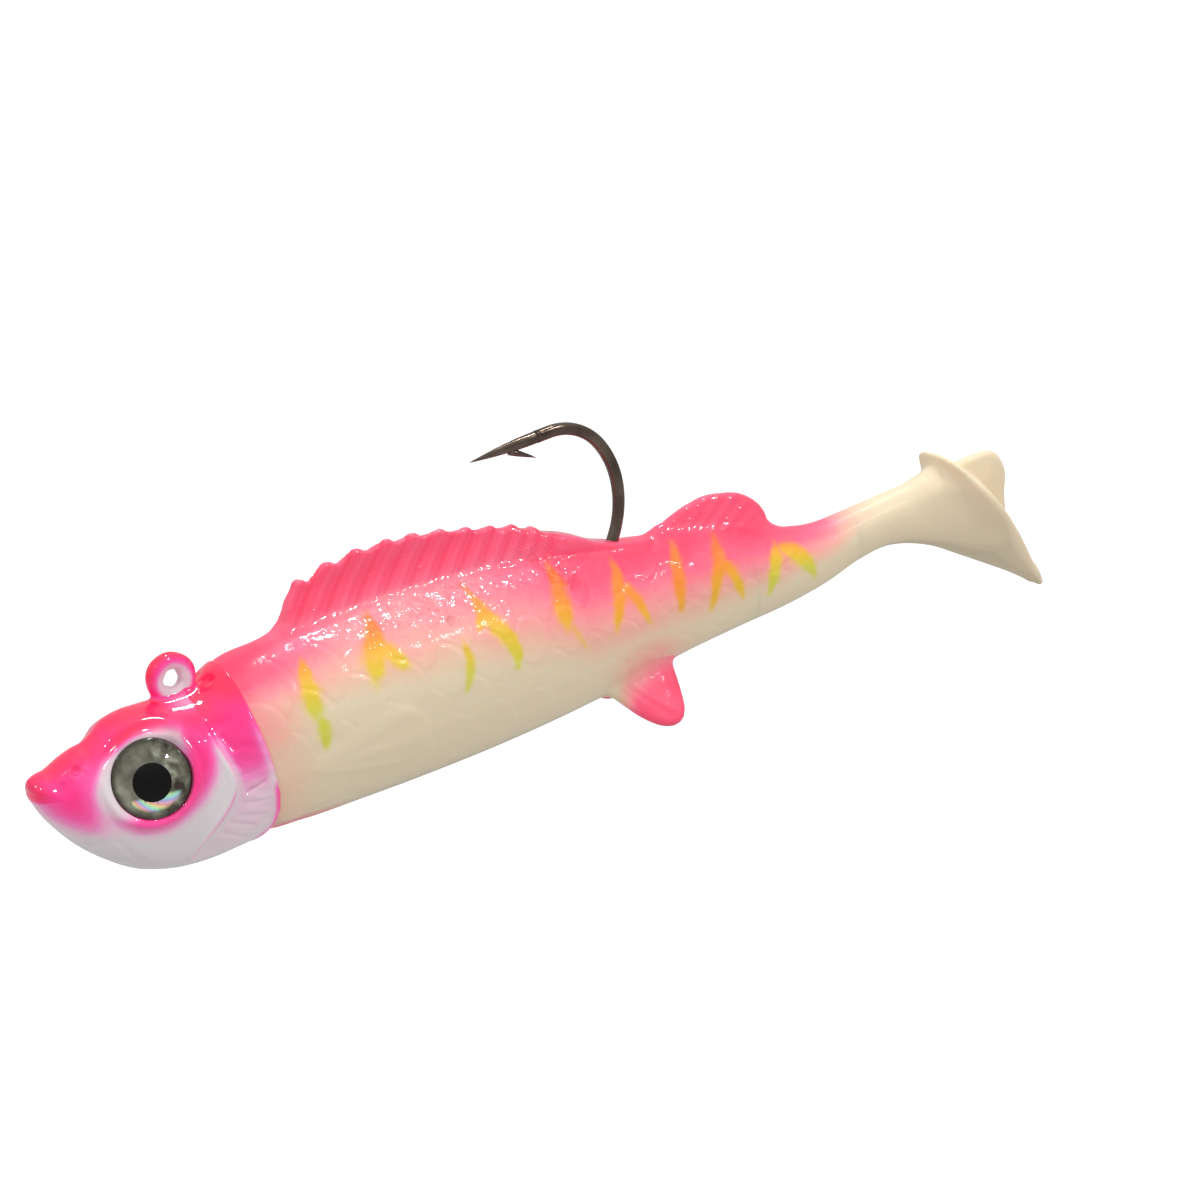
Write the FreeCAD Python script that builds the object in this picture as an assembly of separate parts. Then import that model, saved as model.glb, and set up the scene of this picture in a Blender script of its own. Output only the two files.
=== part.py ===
import FreeCAD, Part
import math
import os

Vector = FreeCAD.Vector

# Frame: the origin is the centre of the line-tie ring, +X runs towards the tail, +Z is up,
# and the fish's left side faces -Y. All sizes are in millimetres.

# Driving dimensions.
WIRE_RADIUS = 0.55          # hook wire
RING_RADIUS = 1.57          # centreline of the line-tie ring
RING_TUBE_RADIUS = 0.80     # ring wire with its paint
RING_HOLE_RADIUS = 0.80     # short cylindrical land inside the ring
SHANK_Z = -4.9              # centreline of the hook shank
LEG_BEND_RADIUS = 1.8       # where the leg below the ring turns into the shank
BEND_REAR_X = 46.5          # rearmost centreline point of the hook bend
LOWER_BEND_RADIUS = 8.9     # from the shank to the rearmost point
UPPER_BEND_RADIUS = 5.3     # from the rearmost point to the spear
BEND_TOP_Z = 11.1           # centreline at the top of the bend
BEND_TOP_X = 40.9
SPEAR_TILT_DEG = 3.4        # the spear slopes down towards its point
CONE_START_X = 38.2
POINT_TIP_X = 32.3
POINT_TIP_RADIUS = 0.06
BARB_OUTLINE = [(36.6, 10.62), (37.0, 10.20), (39.1, 9.18), (38.1, 10.42)]
BARB_THICKNESS = 0.5

EYE_RADIUS = 3.5
EYE_CENTRE = (-5.25, 3.90, -6.87)
EYE_NORMAL = (-0.24, 0.93, 0.24)
EYE_BOSS_RIM = 0.4          # raised rim round each eye seat
EYE_BOSS_DEPTH = 1.2
EYE_BOSS_HEIGHT = 0.15
EYE_SEAT_CLEARANCE = 0.05
FOIL_THICKNESS = 0.25
PUPIL_RADIUS = 1.72
PUPIL_DROP = 0.3            # the pupil sits a little below the middle of the foil
PUPIL_THICKNESS = 0.1
DOME_HEIGHT = 1.1

COLLAR_TOP_X = 4.5          # rear face of the gill covers, at the top
COLLAR_TILT_DEG = 6.0       # that face leans back towards the belly
KEEPER_PROFILE = [(4.0, 1.5), (8.0, 1.5), (8.0, 2.2), (11.0, 1.3), (11.0, 1.9), (14.5, 0.9)]

BODY_GAP = 0.3              # between soft sections that bend against each other
REAR_HINGE_X = 49.5
REAR_KNUCKLE_RADIUS = 4.35
STEM_HINGE_X = 64.5
STEM_KNUCKLE_RADIUS = 2.85
PADDLE_HINGE_X = 73.5
PADDLE_KNUCKLE_RADIUS = 1.85

PLATE_TOP = (79.95, -2.45)   # upper end of the paddle plate, in the middle plane
PLATE_FOOT = (89.30, -17.60)
PLATE_THICKNESS = 1.2
LOBE_HALF_THICKNESS = 0.9
FIRST_DORSAL_HALF_THICKNESS = 0.8
SECOND_DORSAL_HALF_THICKNESS = 0.9
SERRATION_DEPTH = 0.42
VALLEY_SHARE = 0.35         # where the valley lies between two spine tips
FIN_CLEARANCE = 0.05
PELVIC_FIN_THICKNESS = 1.3
PELVIC_FIN_SPREAD_DEG = 35.0
PELVIC_FIN_ROOT_Y = 2.2
PELVIC_FIN_ROOT_Z = -12.3

# Each station across the length: x, top z, bottom z, half width, fullness of the upper and lower half.
HEAD_TIP = (-15.15, -5.7)
HEAD_STATIONS = [
    (-14.98, -5.02, -6.72, 0.90, 2.0, 2.0),
    (-14.15, -4.60, -8.55, 1.85, 2.0, 2.0),
    (-13.20, -4.45, -10.00, 2.35, 1.9, 2.0),
    (-11.60, -3.74, -11.95, 3.00, 1.8, 2.0),
    (-9.20, -3.04, -14.05, 3.70, 1.62, 2.1),
    (-7.40, -1.88, -15.25, 4.18, 1.66, 2.1),
    (-5.00, -1.32, -16.22, 4.70, 1.8, 2.15),
    (-1.00, -1.50, -16.76, 5.35, 2.0, 2.2),
    (2.10, -1.28, -16.50, 5.70, 1.9, 2.3),
    (3.50, -0.25, -16.35, 5.82, 1.85, 2.3),
    (4.80, 0.30, -16.10, 5.90, 1.9, 2.3),
    (7.00, 0.45, -15.70, 5.95, 2.0, 2.3),
]
BODY_STATIONS = [
    (2.0, -0.40, -15.20, 5.30, 1.9, 2.3),
    (5.2, 0.22, -15.62, 5.68, 1.95, 2.3),
    (9.0, 0.62, -15.95, 5.95, 2.0, 2.3),
    (15.0, 1.02, -15.88, 6.22, 2.0, 2.3),
    (22.0, 1.08, -15.66, 6.32, 2.0, 2.3),
    (30.0, 0.87, -15.23, 6.05, 2.0, 2.3),
    (38.0, 0.22, -14.50, 5.40, 1.8, 2.3),
    (44.0, -0.68, -13.70, 4.80, 1.65, 2.3),
    (50.0, -1.42, -12.70, 4.20, 1.85, 2.3),
    (56.0, -2.55, -12.05, 3.60, 2.0, 2.3),
    (62.0, -4.30, -11.50, 3.00, 2.0, 2.2),
    (66.0, -5.08, -10.78, 2.55, 2.0, 2.2),
    (70.0, -4.86, -9.68, 2.12, 2.0, 2.2),
    (73.0, -4.58, -9.32, 1.95, 2.0, 2.2),
    (76.0, -4.32, -9.92, 1.95, 2.0, 2.1),
]
WEB_STATIONS = [
    (71.0, -4.77, -9.50, 2.05, 2.0, 2.2),
    (73.0, -4.58, -9.32, 1.95, 2.0, 2.2),
    (76.0, -4.32, -9.92, 1.95, 2.0, 2.1),
    (78.5, -4.15, -10.95, 2.10, 2.0, 2.1),
    (81.0, -5.20, -12.40, 2.20, 2.0, 2.0),
    (84.0, -9.20, -14.25, 1.90, 2.0, 2.0),
    (86.3, -13.20, -15.75, 1.20, 2.0, 2.0),
    (88.2, -16.00, -17.00, 0.40, 2.0, 2.0),
]
WIDEST_SHARE = 0.47         # height of the widest line, as a share of the section's height
SECTION_POINTS = 24

# Cutting blocks and cylinders reach well past the part.
BLOCK_LENGTH = 200.0
BLOCK_HALF_WIDTH = 40.0
CUTTER_LENGTH = 4.0

DORSAL_TIPS = [
    (13.6, 5.15), (16.8, 5.75), (19.8, 6.10), (22.9, 6.10), (25.5, 5.90), (28.2, 5.50),
    (30.8, 4.90), (33.2, 4.35), (35.4, 3.80), (37.4, 3.00), (39.1, 2.20),
]
DORSAL_FRONT = [(10.4, -1.0), (10.7, 0.7), (11.6, 1.7), (12.5, 3.5), (13.1, 4.6)]
DORSAL_REAR = [(40.9, 1.30), (43.2, 0.05), (44.4, -1.2)]
SECOND_DORSAL = [
    (49.4, -4.0), (49.4, -1.0), (50.8, -0.4), (52.3, 0.2), (55.0, 0.72), (57.0, 0.5),
    (58.8, 0.0), (60.2, -1.0), (61.0, -2.1), (61.3, -3.2), (61.4, -6.0),
]
PELVIC_FIN = [
    (40.3, 0.0), (42.0, 3.1), (43.5, 4.95), (44.9, 5.90), (46.2, 5.95), (47.1, 5.0), (47.6, 2.9), (47.9, 0.0),
]
PELVIC_FIN_BURIAL = 1.6
PLATE_HALF_WIDTHS = [
    (0.3, 2.4), (1.4, 3.8), (3.8, 4.9), (6.4, 5.15), (9.0, 4.2), (12.0, 2.7), (14.5, 1.35), (16.2, 0.6),
]
LOBE_OUTLINE = [
    (80.5, -5.5), (81.8, -4.0), (84.4, -3.6), (86.2, -3.8), (87.1, -4.9), (87.4, -6.0), (86.9, -8.0),
    (86.5, -10.4), (84.0, -9.5),
]


def section(x, top, bottom, half_width, upper_fullness, lower_fullness):
    """A closed rounded outline across the length, in the plane at x."""
    middle = bottom + WIDEST_SHARE * (top - bottom)
    points = []
    for step in range(SECTION_POINTS):
        angle = 2.0 * math.pi * step / SECTION_POINTS
        across = math.cos(angle)
        up = math.sin(angle)
        fullness = upper_fullness if up > 0 else lower_fullness
        reach = (top - middle) if up > 0 else (middle - bottom)
        y = math.copysign(abs(across) ** (2.0 / fullness), across) * half_width
        z = middle + math.copysign(abs(up) ** (2.0 / fullness), up) * reach
        points.append(Vector(x, y, z))
    curve = Part.BSplineCurve()
    curve.interpolate(points, PeriodicFlag=True)
    return Part.Wire([curve.toShape()])


def loft(stations, tip=None):
    """A smooth solid through the stations, closed to a point at the front if a tip is given."""
    profiles = [section(*station) for station in stations]
    if tip is not None:
        profiles.insert(0, Part.Vertex(Vector(tip[0], 0, tip[1])))
    return Part.makeLoft(profiles, True, False)


def slab(outline, half_thickness, smooth=False):
    """A plate of even thickness about the middle plane, from (x, z) points."""
    points = [Vector(x, -half_thickness, z) for x, z in outline]
    if smooth:
        curve = Part.BSplineCurve()
        curve.interpolate(points, PeriodicFlag=True)
        wire = Part.Wire([curve.toShape()])
    else:
        wire = Part.makePolygon(points + [points[0]])
    return Part.Face(wire).extrude(Vector(0, 2.0 * half_thickness, 0))


def block_in_front(x):
    """A block of all space in front of the plane at x."""
    width = 2.0 * BLOCK_HALF_WIDTH
    corner = Vector(x - BLOCK_LENGTH, -BLOCK_HALF_WIDTH, -BLOCK_HALF_WIDTH)
    return Part.makeBox(BLOCK_LENGTH, width, width, corner)


def front_region(hinge_x, radius):
    """All space in front of a bending zone, with its round knuckle about the vertical axis."""
    knuckle = Part.makeCylinder(radius, 2.0 * BLOCK_HALF_WIDTH, Vector(hinge_x, 0, -BLOCK_HALF_WIDTH))
    return block_in_front(hinge_x).fuse(knuckle)


def collar_front_space():
    """All space in front of the rear face of the gill covers."""
    block = block_in_front(COLLAR_TOP_X)
    block.rotate(Vector(COLLAR_TOP_X, 0, 0), Vector(0, 1, 0), COLLAR_TILT_DEG)
    return block


def make_hook_ring():
    ring = Part.makeTorus(RING_RADIUS, RING_TUBE_RADIUS, Vector(0, 0, 0), Vector(0, 1, 0))
    start = Vector(0, -CUTTER_LENGTH / 2.0, 0)
    hole = Part.makeCylinder(RING_HOLE_RADIUS, CUTTER_LENGTH, start, Vector(0, 1, 0))
    return ring.cut(hole)


def wire_solid(edges, start, direction):
    """Sweeps the round wire section along joined edges."""
    profile = Part.Wire([Part.makeCircle(WIRE_RADIUS, start, direction)])
    return Part.Wire(edges).makePipeShell([profile], True, True)


def arc_edge(centre_x, centre_z, radius, start_deg, end_deg):
    """An arc in the middle plane. Angles are from +X towards +Z."""
    def at(degrees):
        turn = math.radians(degrees)
        return Vector(centre_x + radius * math.cos(turn), 0, centre_z + radius * math.sin(turn))
    return Part.Arc(at(start_deg), at((start_deg + end_deg) / 2.0), at(end_deg)).toShape()


def make_hook_shank(ring):
    """The leg under the ring, its right-angle bend and the straight shank."""
    top = Vector(0, 0, -RING_RADIUS)
    knee = Vector(0, 0, SHANK_Z + LEG_BEND_RADIUS)
    shank_start = Vector(LEG_BEND_RADIUS, 0, SHANK_Z)
    shank_end = Vector(BEND_REAR_X - LOWER_BEND_RADIUS, 0, SHANK_Z)
    edges = [
        Part.makeLine(top, knee),
        arc_edge(LEG_BEND_RADIUS, SHANK_Z + LEG_BEND_RADIUS, LEG_BEND_RADIUS, 180.0, 270.0),
        Part.makeLine(shank_start, shank_end),
    ]
    return wire_solid(edges, top, Vector(0, 0, -1)).cut(ring)


def make_hook_bend():
    """Three tangent arcs from the shank round to the spear."""
    lower_centre_x = BEND_REAR_X - LOWER_BEND_RADIUS
    lower_centre_z = SHANK_Z + LOWER_BEND_RADIUS
    upper_centre_z = BEND_TOP_Z - UPPER_BEND_RADIUS
    # The side arc leaves the lower arc where the wire runs straight up, and meets the upper arc.
    rise = upper_centre_z - lower_centre_z
    run = BEND_REAR_X - BEND_TOP_X
    inset = run - UPPER_BEND_RADIUS
    side_radius = UPPER_BEND_RADIUS + (rise ** 2 + inset ** 2) / (2.0 * inset)
    side_centre_x = BEND_REAR_X - side_radius
    join_deg = math.degrees(math.atan2(rise, BEND_TOP_X - side_centre_x))
    edges = [
        arc_edge(lower_centre_x, lower_centre_z, LOWER_BEND_RADIUS, -90.0, 0.0),
        arc_edge(side_centre_x, lower_centre_z, side_radius, 0.0, join_deg),
        arc_edge(BEND_TOP_X, upper_centre_z, UPPER_BEND_RADIUS, join_deg, 90.0 + SPEAR_TILT_DEG),
    ]
    return wire_solid(edges, Vector(lower_centre_x, 0, SHANK_Z), Vector(1, 0, 0))


def make_hook_point():
    """The straight spear, its long cone to the point, and the barb under it."""
    tilt = math.radians(SPEAR_TILT_DEG)
    forward = Vector(-math.cos(tilt), 0, -math.sin(tilt))
    start = Vector(BEND_TOP_X - UPPER_BEND_RADIUS * math.sin(tilt), 0,
                   BEND_TOP_Z - UPPER_BEND_RADIUS * (1.0 - math.cos(tilt)))
    cone_start = start + forward * ((start.x - CONE_START_X) / math.cos(tilt))
    tip_at = start + forward * ((start.x - POINT_TIP_X) / math.cos(tilt))
    spear = Part.makeCylinder(WIRE_RADIUS, start.distanceToPoint(cone_start), start, forward)
    base = Part.Wire([Part.makeCircle(WIRE_RADIUS, cone_start, forward)])
    tip = Part.Wire([Part.makeCircle(POINT_TIP_RADIUS, tip_at, forward)])
    cone = Part.makeLoft([base, tip], True, True)
    barb = slab(BARB_OUTLINE, BARB_THICKNESS / 2.0)
    return spear.fuse(cone).fuse(barb).removeSplitter()


def make_keeper(shank, head):
    """Cast barbed collar round the shank, which grips the soft body."""
    outline = [(KEEPER_PROFILE[0][0], 0.0)] + KEEPER_PROFILE + [(KEEPER_PROFILE[-1][0], 0.0)]
    points = [Vector(x, 0, SHANK_Z + r) for x, r in outline]
    face = Part.Face(Part.makePolygon(points + [points[0]]))
    collar = face.revolve(Vector(0, 0, SHANK_Z), Vector(1, 0, 0), 360.0)
    return collar.cut(shank).cut(head)


def eye_frame(side):
    """Seat centre and outward direction of one eye. side is -1 for left and 1 for right."""
    centre = Vector(EYE_CENTRE[0], side * EYE_CENTRE[1], EYE_CENTRE[2])
    normal = Vector(EYE_NORMAL[0], side * EYE_NORMAL[1], EYE_NORMAL[2])
    normal.normalize()
    return centre, normal


def make_eye_seat(side):
    centre, normal = eye_frame(side)
    return Part.makeCylinder(EYE_RADIUS + EYE_SEAT_CLEARANCE, CUTTER_LENGTH, centre, normal)


def make_eye_boss(side):
    """Round boss that carries the rim of an eye seat."""
    centre, normal = eye_frame(side)
    height = EYE_BOSS_DEPTH + EYE_BOSS_HEIGHT
    return Part.makeCylinder(EYE_RADIUS + EYE_BOSS_RIM, height, centre - normal * EYE_BOSS_DEPTH, normal)


def make_eye(side):
    """Foil disc, pupil and clear dome of one eye."""
    centre, normal = eye_frame(side)
    foil = Part.makeCylinder(EYE_RADIUS, FOIL_THICKNESS, centre, normal)
    foil_face = centre + normal * FOIL_THICKNESS
    up = Vector(0, 0, 1) - normal * normal.z
    up.normalize()
    pupil = Part.makeCylinder(PUPIL_RADIUS, PUPIL_THICKNESS, foil_face - up * PUPIL_DROP, normal)
    sphere_radius = (EYE_RADIUS ** 2 + DOME_HEIGHT ** 2) / (2.0 * DOME_HEIGHT)
    sphere_centre = foil_face - normal * (sphere_radius - DOME_HEIGHT)
    cap_space = Part.makeCylinder(EYE_RADIUS, CUTTER_LENGTH, foil_face, normal)
    dome = Part.makeSphere(sphere_radius, sphere_centre).common(cap_space).cut(pupil)
    return foil, pupil, dome


def make_head(shank, ring):
    """Cast head: skull and gill covers, with eye seats and the wire cast in."""
    skull = loft(HEAD_STATIONS, HEAD_TIP).common(collar_front_space())
    for side in (-1, 1):
        skull = skull.fuse(make_eye_boss(side)).cut(make_eye_seat(side))
    return skull.cut(shank).cut(ring)


def make_body_sections(inside):
    """Front trunk, rear body and stem, cut from one loft at the bending zones."""
    whole = loft(BODY_STATIONS)
    front = whole.cut(collar_front_space()).common(front_region(REAR_HINGE_X, REAR_KNUCKLE_RADIUS))
    for piece in inside:
        front = front.cut(piece)
    rear = whole.cut(front_region(REAR_HINGE_X, REAR_KNUCKLE_RADIUS + BODY_GAP))
    rear = rear.common(front_region(STEM_HINGE_X, STEM_KNUCKLE_RADIUS))
    stem = whole.cut(front_region(STEM_HINGE_X, STEM_KNUCKLE_RADIUS + BODY_GAP))
    stem = stem.common(front_region(PADDLE_HINGE_X, PADDLE_KNUCKLE_RADIUS))
    return whole, front, rear, stem


def make_first_dorsal(whole):
    """Long fin with scalloped spine tips, standing on the front trunk."""
    edge = []
    for (x0, z0), (x1, z1) in zip(DORSAL_TIPS, DORSAL_TIPS[1:]):
        edge.append((x0, z0))
        edge.append((x0 + VALLEY_SHARE * (x1 - x0), z0 + VALLEY_SHARE * (z1 - z0) - SERRATION_DEPTH))
    edge.append(DORSAL_TIPS[-1])
    return slab(DORSAL_FRONT + edge + DORSAL_REAR, FIRST_DORSAL_HALF_THICKNESS).cut(whole)


def make_second_dorsal(whole):
    """Rounded fin on the rear body, kept clear of the front trunk's knuckle under it."""
    knuckle_top = whole.common(front_region(REAR_HINGE_X, REAR_KNUCKLE_RADIUS + BODY_GAP))
    raised = knuckle_top.copy()
    raised.translate(Vector(0, 0, BODY_GAP + FIN_CLEARANCE))
    return slab(SECOND_DORSAL, SECOND_DORSAL_HALF_THICKNESS).cut(whole).cut(raised)


def make_pelvic_fin(side, whole):
    """Swept-back belly fin, spread outwards from its root."""
    buried = [(PELVIC_FIN[-1][0], -PELVIC_FIN_BURIAL), (PELVIC_FIN[0][0], -PELVIC_FIN_BURIAL)]
    outline = [(x, PELVIC_FIN_ROOT_Z - depth) for x, depth in PELVIC_FIN + buried]
    fin = slab(outline, PELVIC_FIN_THICKNESS / 2.0)
    fin.translate(Vector(0, side * PELVIC_FIN_ROOT_Y, 0))
    root = Vector(0, side * PELVIC_FIN_ROOT_Y, PELVIC_FIN_ROOT_Z)
    fin.rotate(root, Vector(1, 0, 0), side * PELVIC_FIN_SPREAD_DEG)
    return fin.cut(whole)


def make_paddle():
    """Deep web from the stem down to the foot, with a slanted plate across it."""
    web = loft(WEB_STATIONS)
    length = math.dist(PLATE_TOP, PLATE_FOOT)
    down = Vector(PLATE_FOOT[0] - PLATE_TOP[0], 0, PLATE_FOOT[1] - PLATE_TOP[1])
    down.normalize()
    forward = Vector(down.z, 0, -down.x)
    top = Vector(PLATE_TOP[0], 0, PLATE_TOP[1]) + forward * (PLATE_THICKNESS / 2.0)
    side_points = [top + down * s + Vector(0, w, 0) for s, w in PLATE_HALF_WIDTHS]
    other_points = [top + down * s - Vector(0, w, 0) for s, w in reversed(PLATE_HALF_WIDTHS)]
    curve = Part.BSplineCurve()
    curve.interpolate([top] + side_points + [top + down * length] + other_points, PeriodicFlag=True)
    face = Part.Face(Part.Wire([curve.toShape()]))
    plate = face.extrude(forward * -PLATE_THICKNESS)
    paddle = web.fuse(plate)
    paddle = paddle.cut(front_region(PADDLE_HINGE_X, PADDLE_KNUCKLE_RADIUS + BODY_GAP))
    return paddle.removeSplitter()


def make_lobe(paddle):
    """Small upright lobe standing on the rear face of the plate."""
    pieces = slab(LOBE_OUTLINE, LOBE_HALF_THICKNESS).cut(paddle).Solids
    return max(pieces, key=lambda piece: piece.CenterOfMass.x)


def main():
    os.makedirs("parts", exist_ok=True)
    ring = make_hook_ring()
    shank = make_hook_shank(ring)
    bend = make_hook_bend()
    head = make_head(shank, ring)
    keeper = make_keeper(shank, head)
    whole, front, rear, stem = make_body_sections([shank, bend, keeper])
    paddle = make_paddle()
    parts = {
        "head_casting": head,
        "hook_ring": ring,
        "hook_shank": shank,
        "hook_bend": bend,
        "hook_point": make_hook_point(),
        "bait_keeper": keeper,
        "front_body": front,
        "rear_body": rear,
        "tail_stem": stem,
        "tail_paddle": paddle,
        "tail_lobe": make_lobe(paddle),
        "first_dorsal_fin": make_first_dorsal(whole),
        "second_dorsal_fin": make_second_dorsal(whole),
    }
    for side, name in ((-1, "left"), (1, "right")):
        foil, pupil, dome = make_eye(side)
        parts[name + "_eye_foil"] = foil
        parts[name + "_eye_pupil"] = pupil
        parts[name + "_eye_dome"] = dome
        parts[name + "_pelvic_fin"] = make_pelvic_fin(side, whole)
    for name, shape in parts.items():
        shape.exportStep("parts/" + name + ".step")
        print(name, "solids", len(shape.Solids), "valid", shape.isValid(), "volume", round(shape.Volume, 2))


main()
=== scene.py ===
import math

import bmesh
import bpy
import numpy as np
from mathutils import Matrix, Vector


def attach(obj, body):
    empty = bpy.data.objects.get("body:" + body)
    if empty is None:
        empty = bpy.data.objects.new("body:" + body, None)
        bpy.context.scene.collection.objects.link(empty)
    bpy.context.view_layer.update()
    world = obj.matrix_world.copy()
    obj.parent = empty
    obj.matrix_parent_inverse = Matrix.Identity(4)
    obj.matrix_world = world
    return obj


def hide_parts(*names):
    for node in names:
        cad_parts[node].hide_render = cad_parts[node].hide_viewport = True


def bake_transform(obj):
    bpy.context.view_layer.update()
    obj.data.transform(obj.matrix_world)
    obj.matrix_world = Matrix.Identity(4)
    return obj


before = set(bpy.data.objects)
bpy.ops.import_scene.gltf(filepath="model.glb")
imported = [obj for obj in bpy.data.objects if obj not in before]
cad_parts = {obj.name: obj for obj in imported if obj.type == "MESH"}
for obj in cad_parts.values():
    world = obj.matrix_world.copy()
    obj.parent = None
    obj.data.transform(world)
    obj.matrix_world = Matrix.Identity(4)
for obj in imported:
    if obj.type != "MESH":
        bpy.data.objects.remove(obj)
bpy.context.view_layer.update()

# The frame is the CAD's: the origin is the centre of the line-tie ring, +X runs to the tail, +Z is
# up and the fish's left side faces -Y. Shapes are written in millimetres and made in metres.
MM = 0.001

# Camera and stage.
VIEW_AZIMUTH = -28.0
VIEW_ELEVATION = 18.0
VIEW_ROLL = 9.0
VIEW_DISTANCE = 600.0
VIEW_AIM = (42.75, -0.53, -5.47)
LENS = 199.8
FLOOR_Z = -120.0

# Distant lamps: direction to the lamp, strength and width in degrees.
LAMPS = [
    ("overhead", (0.35, 0.05, 0.93), 0.90, 7.0),
    ("front", (-0.60, -0.20, 0.75), 0.45, 6.0),
    ("side", (0.474, -0.682, 0.556), 0.60, 6.0),
]
# Sky brightness by height, from straight down (-1) to straight up (1).
SKY = [(-1.0, 0.70), (-0.40, 0.64), (0.0, 0.50), (0.30, 0.55), (0.60, 0.80), (1.0, 0.85)]

# Stations along the length: x, top z, bottom z, half width, fullness above and below the widest line.
HEAD_STATIONS = [
    (-15.10, -5.45, -6.10, 0.35, 2.0, 2.0),
    (-14.98, -5.02, -6.72, 0.90, 2.0, 2.0),
    (-14.68, -4.76, -7.45, 1.40, 2.0, 2.0),
    (-14.15, -4.60, -8.55, 1.85, 2.0, 2.0),
    (-13.20, -4.45, -10.00, 2.35, 1.9, 2.0),
    (-11.60, -3.74, -11.95, 3.00, 1.8, 2.0),
    (-10.40, -3.32, -13.08, 3.35, 1.75, 2.0),
    (-9.20, -3.04, -14.05, 3.70, 1.62, 2.1),
    (-8.30, -2.55, -14.70, 3.95, 1.62, 2.1),
    (-7.40, -1.88, -15.25, 4.18, 1.66, 2.1),
    (-6.30, -1.50, -15.80, 4.42, 1.75, 2.1),
    (-5.00, -1.32, -16.22, 4.70, 1.8, 2.15),
    (-3.50, -1.38, -16.56, 4.95, 1.9, 2.2),
    (-1.00, -1.50, -16.76, 5.35, 2.0, 2.2),
    (1.00, -1.50, -16.62, 5.60, 2.0, 2.3),
    (2.10, -1.28, -16.50, 5.70, 1.9, 2.3),
    (3.50, -0.25, -16.35, 5.82, 1.85, 2.3),
    (4.80, 0.30, -16.10, 5.90, 1.9, 2.3),
    (7.00, 0.45, -15.70, 5.95, 2.0, 2.3),
]
BODY_STATIONS = [
    (3.0, -0.95, -14.70, 4.85, 1.9, 2.3),
    (4.2, -0.10, -15.20, 5.25, 1.9, 2.3),
    (5.2, 0.22, -15.62, 5.68, 1.95, 2.3),
    (9.0, 0.62, -15.95, 5.95, 2.0, 2.3),
    (15.0, 1.02, -15.88, 6.22, 2.0, 2.3),
    (22.0, 1.08, -15.66, 6.32, 2.0, 2.3),
    (30.0, 0.87, -15.23, 6.05, 2.0, 2.3),
    (38.0, 0.22, -14.50, 5.40, 1.8, 2.3),
    (44.0, -0.68, -13.70, 4.80, 1.65, 2.3),
    (50.0, -1.42, -12.70, 4.20, 1.85, 2.3),
    (56.0, -2.55, -12.05, 3.60, 2.0, 2.3),
    (62.0, -4.30, -11.50, 3.00, 2.0, 2.2),
    (66.0, -5.08, -10.78, 2.55, 2.0, 2.2),
    (70.0, -4.86, -9.68, 2.12, 2.0, 2.2),
    (73.0, -4.58, -9.32, 1.95, 2.0, 2.2),
    (76.0, -4.32, -9.92, 1.95, 2.0, 2.1),
    (78.5, -4.15, -10.95, 2.10, 2.0, 2.1),
    (81.0, -5.20, -12.40, 2.20, 2.0, 2.0),
    (84.0, -9.20, -14.25, 1.90, 2.0, 2.0),
    (86.3, -13.20, -15.75, 1.20, 2.0, 2.0),
    (88.4, -16.20, -17.25, 0.50, 2.0, 2.0),
]
WIDEST_SHARE = 0.47

# Rear edge of the gill covers: x by z.
COLLAR_EDGE = [
    (1.2, 4.55), (-1.5, 4.70), (-4.0, 4.92), (-6.0, 5.22), (-9.0, 5.62), (-12.0, 5.92), (-13.8, 5.80),
    (-15.0, 5.30), (-16.0, 4.60), (-17.2, 3.40),
]

RING_RADIUS = 1.57
RING_TUBE = 0.83
RING_ROOT_TUBE = 0.70        # the ring's lower part, which the casting rises to
WIRE_RADIUS = 0.55

EYE_CENTRE = (-5.25, 3.90, -6.87)
EYE_NORMAL = (-0.24, 0.93, 0.24)
EYE_RADIUS = 3.5
FOIL_THICKNESS = 0.25
PUPIL_RADIUS = 1.72
PUPIL_DROP = 0.30            # the pupil sits a little below the middle of the foil
DOME_HEIGHT = 1.1

DORSAL_TIPS = [
    (13.75, 5.0), (16.8, 5.75), (19.8, 6.10), (22.9, 6.10), (25.5, 5.90), (28.2, 5.50),
    (30.8, 4.90), (33.2, 4.35), (35.4, 3.80), (37.4, 3.00), (39.1, 2.20),
]
DORSAL_FRONT = [(10.4, -2.0), (10.7, 0.7), (11.5, 1.8), (12.3, 3.5), (12.9, 4.4)]
DORSAL_REAR = [(40.9, 1.30), (43.2, 0.05), (45.2, -0.75), (46.0, -2.0)]
SECOND_DORSAL = [
    (49.0, -4.0), (49.2, -1.1), (50.8, -0.45), (52.3, 0.15), (55.0, 0.72), (57.0, 0.5),
    (58.8, 0.0), (60.2, -1.0), (61.0, -2.1), (61.3, -3.2), (61.5, -6.0),
]
PELVIC_FIN = [
    (40.3, 0.0), (42.0, 3.1), (43.5, 4.95), (44.9, 5.90), (46.2, 5.95), (47.1, 5.0), (47.6, 2.9),
    (47.9, 0.0), (47.5, -2.0), (41.2, -2.0),
]
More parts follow.
